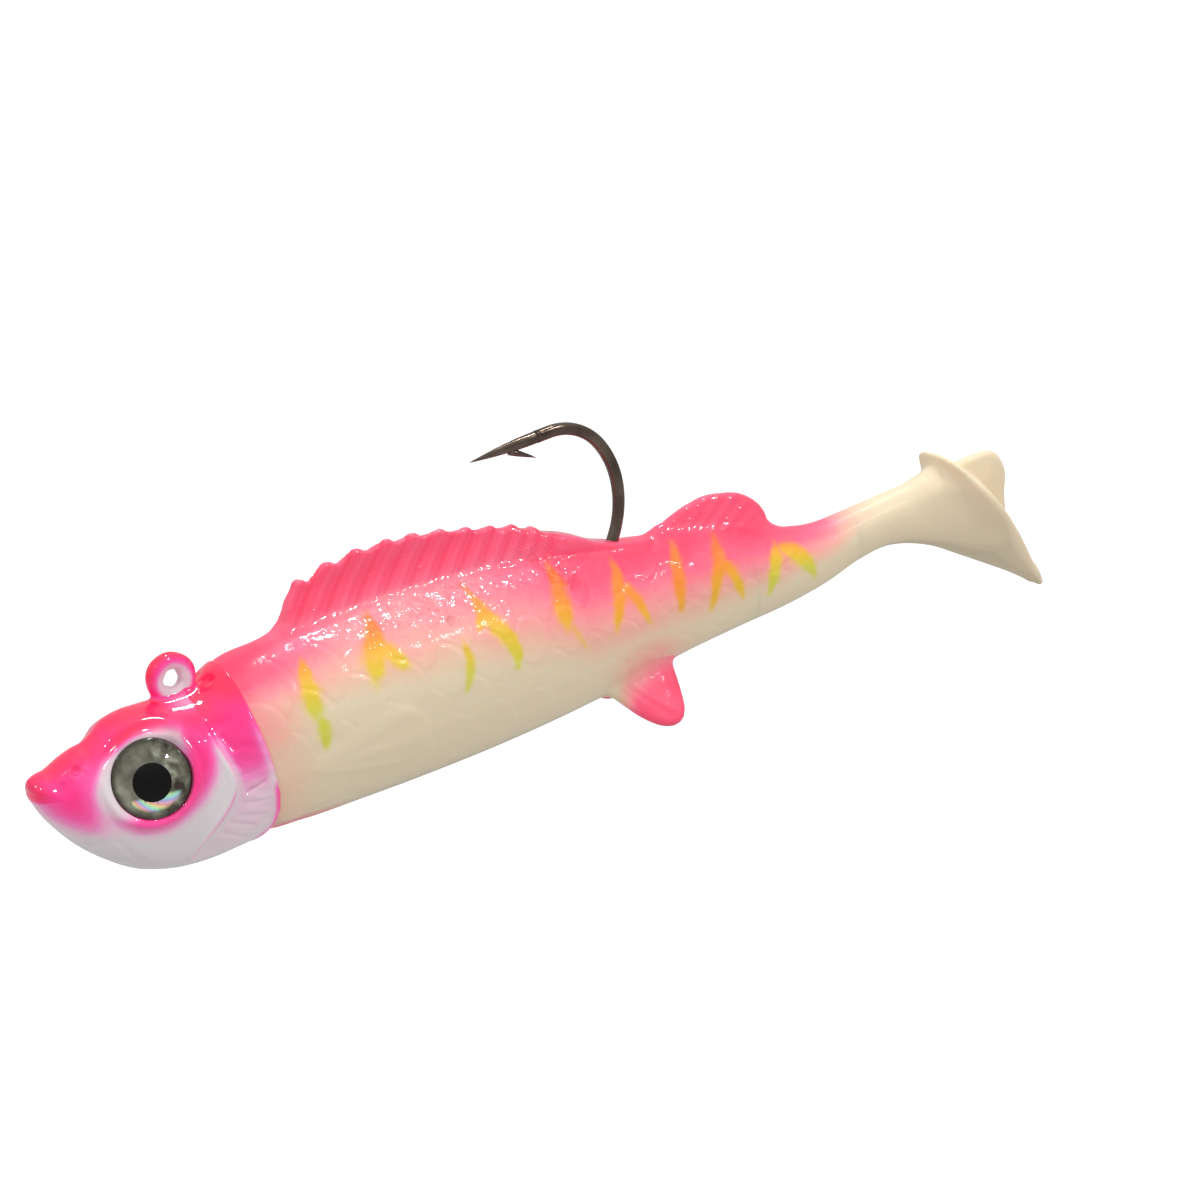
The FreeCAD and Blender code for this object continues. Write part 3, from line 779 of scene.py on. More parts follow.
def paint_material():
    """Glossy lacquered airbrush paint over a white base coat, with painted shade round the eyes and a painted
    glow in its pinks.
    """
    n = Nodes("head_lacquer")
    place = n.place()
    pink = n.plus(n.value("pink"), n.scaled(n.noise(place, 0.45, 3.0), 0.16, -0.08))
    pink = n.plus(pink, n.scaled(n.noise(place, 5.0), 0.06, -0.03))
    red = n.times(n.value("red"), n.math("MINIMUM", pink, 1.0))
    colour = n.mix(red, n.ramp(pink, PAINT_STOPS), RED_PAINT)
    # Painted shade round the eyes darkens the paint towards a dark maroon.
    colour = n.mix(n.value("shade"), colour, PAINTED_SHADOW)
    # Painted glow: the pinks emit light of their own, less under the painted shade.
    glow = n.mix(n.times(pink, n.rest_of(n.value("shade"))), BLACK, HEAD_PAINTED_GLOW_PINK)
    n.set(Base_Color=colour, Roughness=0.45, Metallic=0.0, Specular_IOR_Level=0.15, Coat_Weight=1.0,
          Coat_Roughness=0.03, Coat_IOR=1.5, Emission_Color=glow, Emission_Strength=HEAD_PAINTED_GLOW)
    height = n.plus(n.times(n.noise(place, 0.9), 0.8), n.times(n.noise(place, 3.2, 1.0), 0.12))
    n.put(n.shader.inputs["Normal"], n.bump(height, 0.35, 0.10))
    n.put(n.shader.inputs["Coat Normal"], n.bump(height, 0.22, 0.10))
    return n.material


def make_head(material):
    """The painted casting: its plain shape, then the relief, painted by where each point started."""
    points, quads = surface_net(head_field, *HEAD_BOX, HEAD_CELL)
    points = relax(points, quads, 2)
    points, _ = settle(head_field, points)
    normals = vertex_normals(points, quads)
    rest = points.copy()
    points = points + normals * head_relief(points, normals)[:, None]
    points = relax(points, quads, 1, 0.3)
    values = head_paint(rest, normals)
    values["rest"] = rest
    return add_mesh("head_shell", points, quads, material, values)


def make_ring(material):
    """Painted line-tie ring: pink outside and nearly white inside its hole."""
    around, section = 96, 40
    points = []
    values = {"pink": [], "red": []}
    for i in range(around):
        turn = 2 * math.pi * i / around
        for j in range(section):
            roll = 2 * math.pi * j / section
            lump = 0.035 * math.sin(3 * turn + 1.0) + 0.02 * math.sin(5 * turn + 2 * roll)
            tube_radius = RING_TUBE - 0.03 + lump
            reach = RING_RADIUS + tube_radius * math.cos(roll)
            x, z = reach * math.cos(turn), reach * math.sin(turn)
            points.append((x, tube_radius * math.sin(roll), z))
            outer = smoothstep(-0.35, 0.75, math.cos(roll) + 0.25 * math.sin(turn))
            values["pink"].append(0.12 + 0.88 * outer)
            values["red"].append(float(smoothstep(0.3, 1.0, math.cos(roll)) * smoothstep(-0.6, 0.6, z / 2.0)))
    points = np.array(points)
    quads = []
    for i in range(around):
        here, ahead = i * section, ((i + 1) % around) * section
        for j in range(section):
            beside = (j + 1) % section
            quads.append((here + j, ahead + j, ahead + beside, here + beside))
    values = {key: np.array(value) for key, value in values.items()}
    values["shade"] = np.zeros(len(points))
    values["rest"] = points.copy()
    return add_mesh("line_tie_ring", points, quads, material, values)


# ---------------------------------------------------------------- eyes

def eye_axes(side):
    """Seat centre, outward direction, and the two directions across an eye."""
    centre = np.array([EYE_CENTRE[0], side * EYE_CENTRE[1], EYE_CENTRE[2]])
    normal = np.array([EYE_NORMAL[0], side * EYE_NORMAL[1], EYE_NORMAL[2]])
    normal = normal / np.linalg.norm(normal)
    up = np.array([0.0, 0.0, 1.0])
    up = up - normal * up.dot(normal)
    up = up / np.linalg.norm(up)
    back = np.cross(normal, up) * (-side)
    return centre, normal, back, up


def turned(name, side, profile, material, drop=0.0, steps=96):
    """A round piece from (radius, height) points, about an eye's axis lowered by drop. Radius 0 closes it."""
    centre, normal, back, up = eye_axes(side)
    centre = centre - up * drop
    points, local, rows = [], [], []
    for radius, height in profile:
        row = []
        for k in range(steps if radius > 0 else 1):
            turn = 2 * math.pi * k / steps
            u, v = radius * math.cos(turn), radius * math.sin(turn)
            row.append(len(points))
            points.append(centre + back * u + up * v + normal * height)
            local.append((u, v, height))
        rows.append(row)
    faces = []
    for low, high in zip(rows, rows[1:]):
        for k in range(steps):
            a, b = low[k % len(low)], low[(k + 1) % len(low)]
            c, d = high[(k + 1) % len(high)], high[k % len(high)]
            faces.append(list(dict.fromkeys((a, b, c, d))))
    if np.cross(back, up).dot(normal) < 0:
        faces = [face[::-1] for face in faces]
    return add_mesh(name, np.array(points), faces, material, {"rest": np.array(local)})


SILVER = [(0.22, (74, 62, 54)), (0.42, (122, 118, 108)), (0.60, (146, 144, 134)), (0.82, (190, 192, 180))]
# Hues of the painted rainbow glints of the holographic foil, and the white they are washed with.
RAINBOW_GLINT_HUES = [
    (0.0, (255, 120, 90)), (0.18, (255, 214, 110)), (0.36, (140, 255, 150)), (0.52, (90, 230, 240)),
    (0.68, (120, 140, 255)), (0.84, (245, 140, 240)), (1.0, (255, 120, 90)),
]
GLINT_HAZE = (255, 255, 250)
# Colour of the painted shade at the foil's edge.
FOIL_EDGE_SHADE = (62, 60, 50)


def foil_material():
    """Crinkled holographic foil: silver facets with painted rainbow glints low on the iris, which also glow.
    """
    n = Nodes("eye_foil")
    place = n.place()
    split = n.tree.nodes.new("ShaderNodeSeparateXYZ")
    n.put(split.inputs[0], place)
    u, v = split.outputs[0], split.outputs[1]
    radius = n.math("SQRT", n.plus(n.times(u, u), n.times(v, v)))
    patch = n.times(n.scaled(n.noise(place, 1.3, 1.0), 1.4, -0.7), n.fade(u, 0.6, -1.6))
    silver = n.ramp(n.plus(n.noise(place, 0.55), patch), SILVER)
    streaks = n.noise(n.node("ShaderNodeCombineXYZ", {0: n.times(u, 3.4), 1: n.times(v, 0.7)}), 1.0)
    # Painted rainbow glints in a streaky band low on the iris; they glow as well.
    hue = n.math("FRACT", n.plus(n.times(u, 0.42), n.times(radius, 0.9)))
    rainbow = n.mix(0.35, n.ramp(hue, RAINBOW_GLINT_HUES), GLINT_HAZE)
    band = n.times(n.fade(v, -1.35, -1.75), n.fade(radius, 3.0, 2.55))
    cover = n.times(band, n.math("GREATER_THAN", streaks, 0.36))
    colour = n.mix(n.times(cover, 0.9), silver, rainbow)
    # Painted shade darkening the foil towards its edge.
    colour = n.mix(n.fade(radius, 2.95, 3.45, 0.0, 0.75), colour, FOIL_EDGE_SHADE)
    n.set(Base_Color=colour, Metallic=0.55, Roughness=0.32, Specular_IOR_Level=0.3,
          Emission_Color=n.mix(cover, BLACK, rainbow), Emission_Strength=0.28)
    n.put(n.shader.inputs["Normal"], n.bump(n.noise(place, 1.4, 3.0), 0.6, 0.25))
    return n.material


def pupil_material():
    """Matt black print."""
    n = Nodes("eye_pupil")
    mottled = n.ramp(n.noise(n.place(), 3.0), [(0.3, (2, 2, 3)), (0.8, (7, 7, 8))])
    n.set(Base_Color=mottled, Roughness=0.6, Specular_IOR_Level=0.0)
    n.put(n.shader.inputs["Normal"], n.bump(n.noise(n.place(), 6.0, 1.0), 0.1, 0.02))
    return n.material


def dome_material():
    """Clear resin: reflects at its surface and lets the foil show through."""
    n = Nodes("eye_dome")
    swirl = n.noise(n.place(), 1.1)
    normal = n.bump(swirl, 0.12, 0.04)
    mirror = {"Color": (0.45, 0.45, 0.45, 1), "Roughness": 0.03, "Normal": normal}
    gloss = n.node("ShaderNodeBsdfGlossy", mirror)
    tint = n.ramp(swirl, [(0.2, (247, 248, 244)), (0.8, (255, 255, 252))])
    clear = n.node("ShaderNodeBsdfTransparent", {"Color": tint})
    outside = n.rest_of(n.node("ShaderNodeNewGeometry", output=6))
    edge = n.times(n.node("ShaderNodeFresnel", {"IOR": 1.5, "Normal": normal}), outside)
    mixed = n.node("ShaderNodeMixShader", {0: edge, 1: clear, 2: gloss})
    n.tree.links.new(mixed, n.output.inputs["Surface"])
    n.tree.nodes.remove(n.shader)
    return n.material


def eye_profiles():
    """Foil, pupil and dome as (radius, height) points."""
    top = FOIL_THICKNESS
    rings = [3.46 * k / 14 for k in range(14, 0, -1)]
    foil = [(0, 0.0), (3.3, 0.0), (EYE_RADIUS, 0.04), (EYE_RADIUS, top - 0.04)]
    foil += [(r, top) for r in rings] + [(0, top)]
    pupil = [(0, top + 0.005), (PUPIL_RADIUS - 0.03, top + 0.005), (PUPIL_RADIUS, top + 0.03)]
    for a in np.linspace(0.2, 1.5, 8):
        pupil.append((PUPIL_RADIUS * math.cos(a), top + 0.03 + 0.09 * math.sin(a)))
    pupil += [(0, top + 0.12)]
    sphere = (EYE_RADIUS ** 2 + DOME_HEIGHT ** 2) / (2 * DOME_HEIGHT)
    sweep = math.asin(EYE_RADIUS / sphere)
    dome = [
        (0, top + 0.13), (PUPIL_RADIUS + 0.35, top + 0.13), (PUPIL_RADIUS + 0.45, top + 0.02),
        (EYE_RADIUS - 0.12, top + 0.02), (EYE_RADIUS - 0.01, top + 0.08),
    ]
    for a in np.linspace(sweep * 0.965, 0.0, 22):
        dome.append((sphere * math.sin(a), top + DOME_HEIGHT - sphere * (1 - math.cos(a))))
    return foil, pupil, dome


def make_eyes():
    """Foil, pupil and dome on both sides."""
    foil, pupil, dome = foil_material(), pupil_material(), dome_material()
    foil_profile, pupil_profile, dome_profile = eye_profiles()
    for side, name in ((-1, "left"), (1, "right")):
        made = [
            (turned(name + "_foil", side, foil_profile, foil), "_eye_foil", "eye_foil"),
            (turned(name + "_pupil", side, pupil_profile, pupil, PUPIL_DROP), "_eye_pupil", "eye_pupil"),
            (turned(name + "_dome", side, dome_profile, dome), "_eye_dome", "eye_dome"),
        ]
        for piece, node, slot in made:
            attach(piece, "trunk")
            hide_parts(name + node)


# ---------------------------------------------------------------- soft body

def dorsal_outline():
    """The first dorsal fin's outline: rounded scallops with a steeper rear side."""
    edge = []
    for (x0, z0), (x1, z1) in zip(DORSAL_TIPS, DORSAL_TIPS[1:]):
        wide = x1 - x0
        edge += [
            (x0 - 0.20 * wide, z0 - 0.06), (x0, z0), (x0 + 0.14 * wide, z0 - 0.14),
            (x0 + 0.26 * wide, z0 - 0.44), (x0 + 0.48 * wide, 0.6 * z0 + 0.4 * z1 - 0.36),
        ]
    return closed_curve(DORSAL_FRONT + edge + DORSAL_REAR, 0.5)


DORSAL_CURVE = dorsal_outline()
SECOND_DORSAL_CURVE = closed_curve(SECOND_DORSAL, 0.6)
PELVIC_CURVE = closed_curve(PELVIC_FIN, 0.5)
LOBE_CURVE = closed_curve(LOBE_OUTLINE, 0.6)
PLATE_LENGTH = math.dist(PLATE_TOP, PLATE_FOOT)
PLATE_CURVE = closed_curve([(0.0, 0.0)] + PLATE_HALF_WIDTHS + [(PLATE_LENGTH, 0.0)]
                           + [(s, -w) for s, w in reversed(PLATE_HALF_WIDTHS)], 0.6)


def first_dorsal(x, y, z):
    """The long serrated fin, thicker towards its root."""
    flat = outline_distance(DORSAL_CURVE, x, z)
    half = 0.42 + 0.85 * smoothstep(4.6, 0.4, z)
    return blade(flat, y, half, 0.32)


def second_dorsal(x, y, z):
    """The rounded fin behind it, thinner towards its edge."""
    flat = outline_distance(SECOND_DORSAL_CURVE, x, z)
    half = 0.40 + 0.28 * np.clip(-flat, 0.0, 3.2)
    return blade(flat, y, half, 0.34)


def pelvic_axes(y, z):
    """Depth from the root and distance across a pelvic fin, on the nearer side."""
    dy, dz = np.abs(y) - PELVIC_ROOT[0], z - PELVIC_ROOT[1]
    depth = dy * math.sin(PELVIC_SPREAD) - dz * math.cos(PELVIC_SPREAD)
    across = dy * math.cos(PELVIC_SPREAD) + dz * math.sin(PELVIC_SPREAD)
    depth = depth + RIGHT_FIN_SHORTER * smoothstep(1.0, 4.0, y)
    return depth, across


def pelvic_fins(x, y, z):
    """Both pelvic fins."""
    depth, across = pelvic_axes(y, z)
    flat = outline_distance(PELVIC_CURVE, x, depth)
    half = 0.45 + 0.30 * np.clip(-flat, 0.0, 1.6)
    return blade(flat, across, half, 0.36)


def plate_axes(x, z):
    """Length down the paddle plate from its top, and distance in front of its middle plane."""
    down = np.array([PLATE_FOOT[0] - PLATE_TOP[0], PLATE_FOOT[1] - PLATE_TOP[1]]) / PLATE_LENGTH
    dx, dz = x - PLATE_TOP[0], z - PLATE_TOP[1]
    return dx * down[0] + dz * down[1], dx * down[1] - dz * down[0]


def plate(x, y, z):
    """The paddle: a slanted plate, thinner towards its edge."""
    along, front = plate_axes(x, z)
    flat = outline_distance(PLATE_CURVE, along, y)
    half = 0.22 + 0.26 * np.clip(-flat, 0.0, 2.4)
    return blade(flat, front, half, 0.20)


def lobe(x, y, z):
    """The small upright lobe behind the paddle."""
    flat = outline_distance(LOBE_CURVE, x, z)
    half = 0.48 + 0.16 * np.clip(-flat, 0.0, 2.4)
    return blade(flat, y, half, 0.40)


# Each shape joined to the trunk: where it starts and ends along x, how soft the joint is, and its field.
BODY_SHAPES = [
    (9.0, 47.0, 0.9, first_dorsal),
    (48.0, 63.0, 1.2, second_dorsal),
    (40.0, 49.0, 0.9, pelvic_fins),
    (80.0, 88.5, 0.35, lobe),
]


def body_field(x, y, z):
    """The whole moulding, without its pressed detail."""
    found = tube(BODY_STATIONS, x, y, z)
    low, high = np.min(x) - 2.5, np.max(x) + 2.5
    if high > 77.0:
        flare = 0.9 + 4.3 * smoothstep(-17.5, -11.0, z) * smoothstep(-1.6, -5.6, z)
        found = smooth_union(found, plate(x, y, z), flare)
    for start, end, reach, shape in BODY_SHAPES:
        if end > low and start < high:
            found = smooth_union(found, shape(x, y, z), reach)
    return found


PECTORAL = [
    (9.3, -10.1), (11.0, -9.0), (13.5, -8.1), (16.0, -7.35), (18.3, -6.95), (19.9, -7.6), (20.9, -9.0),
    (21.0, -10.6), (20.0, -11.9), (17.0, -12.2), (13.0, -11.6), (10.2, -10.9),
]
PECTORAL_CURVE = closed_curve(PECTORAL, 0.5)
PECTORAL_ROOT = (8.6, -10.3)
# Scales: where their rows start and stop, the steps between them, and their radius along the body.
SCALE_START = (5.0, 0.6)
SCALE_END = (66.0, -14.0)
SCALE_ROW_STEP = 3.05
SCALE_ROW_SHIFT = 2.1
SCALE_PITCH = 1.72           # of its radius, from one scale to the next
SCALE_SIZES = ([5.0, 40.0, 66.0], [2.75, 2.35, 1.5])
SCALE_RISE = 0.040
SCALE_GROOVE = (0.090, 0.14)


def scale_relief(x, z):
    """Overlapping pressed scales: each has a raised rear rim with a fine groove round it."""
    relief = np.zeros(len(x))
    front_most = np.full(len(x), 1e9)
    rng = np.random.default_rng(7)
    row = 0
    centre_z = SCALE_START[1]
    while centre_z > SCALE_END[1]:
        centre_x = SCALE_START[0] + (SCALE_ROW_SHIFT if row % 2 else 0.0)
        while centre_x < SCALE_END[0]:
            size = np.interp(centre_x, *SCALE_SIZES)
            cx = centre_x + rng.uniform(-0.22, 0.22)
            cz = centre_z + rng.uniform(-0.2, 0.2) + 0.0018 * (centre_x - 5.0) * (centre_z + 7.0)
            gap = np.hypot(x - cx, (z - cz) * 1.02)
            inside = (gap < size + 0.25) & (cx < front_most) & (x > cx - size * 0.35)
            if inside.any():
                local = gap[inside]
                rise = SCALE_RISE * smoothstep(size - 1.6, size - 0.25, local)
                relief[inside] = rise - SCALE_GROOVE[0] * hill(local - size, SCALE_GROOVE[1])
                front_most[inside] = cx
            centre_x += size * SCALE_PITCH
        centre_z -= SCALE_ROW_STEP
        row += 1
    return relief


def ray_phase(x, z):
    """Count of scallops along the first dorsal fin, following the lean of its rays."""
    tips = np.array([tip[0] for tip in DORSAL_TIPS])
    lean = x - (z - 5.0) * 0.85
    knots = np.concatenate([[tips[0] - 6.4, tips[0] - 3.2], tips, [tips[-1] + 1.7, tips[-1] + 3.4]])
    return np.interp(lean, knots, np.arange(-2, len(tips) + 2))


def between(x, span):
    """Where x lies inside a span."""
    return (x > span[0]) & (x < span[1])


def body_edges(x):
    """Heights of the back and of the belly."""
    columns = np.array(BODY_STATIONS, float).T
    return smooth_column(columns[0], columns[1], x), smooth_column(columns[0], columns[2], x)


def scalloped(phase, repeats):
    """A wave between 0 and 1 that repeats the given number of times in each scallop."""
    return 0.5 + 0.5 * np.cos(2 * repeats * math.pi * phase)


def pectoral_relief(x, z, fin):
    """The pectoral fin's raised flat and its rays, by distance from its outline."""
    bearing = np.arctan2(z - PECTORAL_ROOT[1], x - PECTORAL_ROOT[0])
    reach = np.hypot(x - PECTORAL_ROOT[0], z - PECTORAL_ROOT[1])
    rays = np.cos(bearing * 26.0) * smoothstep(2.0, 6.0, reach)
    return 0.11 * smoothstep(0.35, -0.35, fin) + 0.030 * rays * smoothstep(0.0, -0.6, fin)


def dorsal_relief(x, z, top):
    """Rays of both dorsal fins."""
    phase = ray_phase(x, z)
    rays = 0.10 * scalloped(phase, 1) ** 1.5 + 0.10 * scalloped(phase, 3) - 0.10
    relief = rays * smoothstep(top - 0.1, top + 0.8, z) * between(x, FIRST_DORSAL_SPAN)
    angle = np.arctan2(z + 9.5, x - 43.0)
    on_second = smoothstep(top - 0.4, top + 0.7, z) * between(x, SECOND_DORSAL_SPAN)
    return relief + 0.038 * np.cos(angle * 90.0) * on_second


def pelvic_relief(x, y, z):
    """Rays of the pelvic fins."""
    depth, _ = pelvic_axes(y, z)
    on_pelvic = between(x, PELVIC_SPAN) * smoothstep(0.9, 1.8, depth) * (z < -11.0)
    spread = np.arctan2(depth + 4.0, x - 38.5)
    inner = smoothstep(-0.3, -1.0, outline_distance(PELVIC_CURVE, x, depth))
    return 0.04 * np.cos(spread * 50.0) * on_pelvic * inner


def body_relief(points, normals):
    """Pressed detail of the moulding, in millimetres along the outward direction."""
    x, y, z = points.T
    top, bottom = body_edges(x)
    sideways = np.abs(normals[:, 1])
    flank = smoothstep(0.25, 0.6, sideways) * smoothstep(top + 0.1, top - 0.8, z)
    flank *= smoothstep(bottom + 0.4, bottom + 2.0, z) * smoothstep(66.0, 60.0, x)
    fin = outline_distance(PECTORAL_CURVE, x, z)
    relief = scale_relief(x, z) * flank * smoothstep(-0.1, 0.35, fin)
    relief += pectoral_relief(x, z, fin) * smoothstep(0.3, 0.6, sideways)
    relief += dorsal_relief(x, z, top) * smoothstep(0.35, 0.7, sideways)
    return relief + pelvic_relief(x, y, z)


# Airbrushed stripes on each side: line, half width at the widest, strength and where along it is widest.
STRIPES = [
    ([(10.9, -0.9), (10.75, -2.2), (10.5, -3.8), (10.6, -5.6)], 0.85, 1.0, 0.62),
    ([(10.9, -5.6), (11.0, -7.2), (10.8, -8.6)], 0.60, 0.9, 0.45),
    ([(18.9, 0.9), (18.2, -0.8), (17.5, -2.2), (16.7, -4.2)], 0.95, 1.0, 0.62),
    ([(17.4, -1.5), (18.9, -2.3), (20.3, -3.9)], 0.85, 0.9, 0.40),
    ([(28.5, 0.4), (28.9, -1.6), (29.6, -3.0), (30.6, -4.4), (31.0, -6.0), (30.7, -7.0)], 0.72, 1.0, 0.50),
    ([(29.0, -1.4), (27.9, -2.9)], 0.45, 0.8, 0.5),
    ([(26.1, -3.4), (26.1, -5.2), (25.7, -6.6), (25.1, -7.6)], 0.50, 0.8, 0.35),
    ([(37.4, 0.0), (37.2, -2.0), (36.7, -3.8), (36.7, -5.4)], 0.85, 1.0, 0.62),
    ([(36.8, -4.8), (37.6, -6.4), (38.2, -7.8)], 0.42, 0.55, 0.3),
    ([(43.7, -1.6), (43.5, -3.0), (42.6, -5.0), (41.6, -7.0)], 0.62, 0.95, 0.40),
    ([(43.5, -3.2), (44.5, -5.2), (45.3, -7.6)], 0.50, 0.9, 0.30),
    ([(50.4, -1.9), (49.6, -3.6), (49.1, -5.6), (48.8, -7.4)], 0.62, 1.0, 0.45),
    ([(54.8, -2.4), (54.1, -4.6), (53.0, -6.4), (52.1, -8.4)], 0.62, 1.0, 0.35),
    ([(54.2, -4.4), (55.2, -6.2), (55.7, -8.4)], 0.58, 0.95, 0.35),
    ([(60.7, -4.9), (60.2, -6.0), (59.4, -7.6), (58.7, -9.0)], 0.62, 1.0, 0.35),
    ([(60.6, -5.2), (62.0, -6.0), (63.2, -7.2), (63.9, -8.8)], 0.72, 1.0, 0.50),
]
# Pink of the back along x: strength at the ridge and depth at which it has faded out. Its thinner stretch
# under the first dorsal (x 12 to 30) is partly paler paint and partly painted sheen where the back catches
# the light.
BACK_PINK = [
    (5.0, 1.0, 7.5), (8.0, 1.0, 7.0), (12.0, 0.75, 7.0), (16.0, 0.62, 7.5), (24.0, 0.60, 8.5),
    (30.0, 0.66, 9.5), (35.0, 0.82, 10.5), (39.0, 1.0, 11.5), (50.0, 1.0, 9.5), (58.0, 1.0, 6.8),
    (63.0, 0.95, 4.6), (67.0, 0.75, 3.4), (70.0, 0.25, 2.6), (73.0, 0.0, 2.4),
]
# How fast a stripe's hue changes downwards, along x.
HUE_PACE = ([10.0, 30.0, 38.0, 50.0, 56.0, 62.0], [1.1, 0.95, 0.62, 0.55, 0.85, 2.0])
# Display colours of the skin by cover of pink, and of a stripe by hue.
SKIN_STOPS = [
    (0.03, (240, 223, 191)), (0.25, (245, 194, 170)), (0.5, (252, 158, 160)), (0.75, (255, 104, 134)),
    (1.0, (255, 58, 96)),
]
STRIPE_STOPS = [
    (0.04, (255, 112, 50)), (0.26, (255, 138, 26)), (0.48, (250, 184, 34)), (0.72, (240, 208, 44)),
    (0.98, (222, 220, 78)),
]
# Painted shade in the grooves between the fin rays, and painted highlights on the rays' ridges.
PAINTED_GROOVE_SHADE = (240, 30, 76)
RAY_HIGHLIGHT_PINK = (255, 150, 190)
# Colour of the skin's painted glow.
SKIN_PAINTED_GLOW_PINK = (255, 66, 120)


def back_pink(x, z, top):
    """Pink that is strongest along the back and covers the fins on it."""
    places, strengths, depths = np.array(BACK_PINK, float).T
    reach = np.interp(x, places, depths)
    pink = np.interp(x, places, strengths) * smoothstep(reach, -0.4, top - z)
    fin = (z > top - 1.6) & (x > 8.0) & (x < 63)
    on_fin = smoothstep(-2.0, 2.0, z - top) * smoothstep(8.0, 12.0, x)
    return np.where(fin, np.maximum(pink, on_fin), pink)


def low_pink(pink, x, y, z):
    """Adds the pink of the pelvic fins, above them, under the throat and behind the head."""
    depth, _ = pelvic_axes(y, z)
    on_pelvic = (x > 40.0) & (x < 49.0) & (depth > 0.1) & (z < -10.8)
    pelvic = 0.22 + 0.64 * smoothstep(-0.2, 4.6, depth + 0.42 * (x - 42.0))
    pelvic *= smoothstep(40.7, 43.0, x)
    pink = np.where(on_pelvic, np.maximum(pink, pelvic), pink)
    glow = np.exp(-(((x - 45.0) / 4.0) ** 2 + ((z + 11.0) / 2.2) ** 2)) * 0.32
    throat = smoothstep(-14.2, -15.6, z) * smoothstep(16.0, 6.5, x)
    collar = smoothstep(12.0, 5.5, x) * (0.16 + 0.26 * smoothstep(-9.0, -4.0, z))
    for cover in (glow, throat * 0.75, collar):
        pink = np.maximum(pink, cover)
    return pink


def stripe_cover(x, z):
    """The airbrushed stripes, wide at one place and faint at the ends."""
    cover = np.zeros(len(x))
    for line, width, strength, widest in STRIPES:
        gap, share = line_distance(line, x, z)
        swell = 0.30 + 0.70 * smoothstep(-0.15, widest, share) * smoothstep(1.35, widest, share)
        ends = smoothstep(-0.05, 0.20, share) * smoothstep(1.10, 0.80, share)
        soft = hill(gap, width * swell * 1.25)
        cover = np.maximum(cover, strength * soft * (0.45 + 0.55 * ends))
    return cover


def body_paint(points, normals):
    """Masks at the vertices: pink, stripes and their hue, crumpled film, painted highlights of the fin rays,
    fin height and gloss.
    """
    x, y, z = points.T
    top, _ = body_edges(x)
    below = top - z
    sides = smoothstep(0.15, 0.5, np.abs(normals[:, 1]))
    pink = low_pink(back_pink(x, z, top), x, y, z)
    stripe = stripe_cover(x, z) * (sides * smoothstep(top + 0.9, top - 0.4, z))
    hue = np.clip((below + 0.4) / 7.6 * np.interp(x, *HUE_PACE), 0.0, 1.0)
    crease = hill(below - 1.3, 1.2) * smoothstep(12.0, 22.0, x) * smoothstep(43.0, 37.0, x) * sides
    phase = ray_phase(x, z)
    high = smoothstep(top - 0.4, top + 0.8, z)
    # Where the fin rays get painted highlights on their ridges and painted shade in their grooves.
    ridge = scalloped(phase, 1) * 0.5 + scalloped(phase, 3) * 0.5
    ray_highlight = np.where(x < 46.0, ridge * high, 0.5 * high * (x < 63.0))
    oily = smoothstep(4.0, 0.5, below) * smoothstep(66.0, 58.0, x) * smoothstep(6.0, 18.0, x)
    gloss = 0.03 + 0.08 * smoothstep(68.0, 58.0, x) + 0.9 * crease
    gloss = gloss + 0.50 * high * (x < 63.0) + 0.32 * oily
    return {"pink": pink, "stripe": stripe, "hue": hue, "crease": crease, "ray_highlight": ray_highlight,
            "high": high * (x < 46.0), "gloss": np.clip(gloss, 0.0, 1.0)}


def skin_colours(n, place):
    """The skin's colour, with painted shade in the fin grooves and painted highlights on the rays, and the
    colour of its painted glow.
    """
    cloud = n.noise(place, 0.22, 3.0)
    drift = n.plus(n.scaled(cloud, 0.26, -0.13), n.scaled(n.noise(place, 3.0), 0.07, -0.035))
    share = n.math("MINIMUM", n.scaled(n.value("pink"), 3.0, 0.15), 1.0)
    pink = n.plus(n.value("pink"), n.times(drift, share))
    stripe = n.ramp(n.plus(n.value("hue"), n.scaled(cloud, 0.3, -0.15)), STRIPE_STOPS)
    blotch = n.times(n.scaled(n.noise(place, 0.9), 0.9, -0.42), 0.85)
    cover = n.math("SUBTRACT", n.times(n.value("stripe"), 1.20), blotch)
    cover = n.fade(cover, 0.05, 1.0, 0.0, 0.95)
    # Painted shade in the fin grooves, then painted highlights on the ray ridges.
    groove = n.times(n.value("high"), n.rest_of(n.value("ray_highlight")))
    base = n.mix(n.times(groove, 0.40), n.ramp(pink, SKIN_STOPS), PAINTED_GROOVE_SHADE)
    base = n.mix(n.times(n.value("ray_highlight"), 0.22), base, RAY_HIGHLIGHT_PINK)
    # Painted glow: the pinks emit light of their own, less under the stripes.
    glow = n.mix(n.times(pink, n.rest_of(n.times(cover, 0.7))), BLACK, SKIN_PAINTED_GLOW_PINK)
    return n.mix(cover, base, stripe), glow


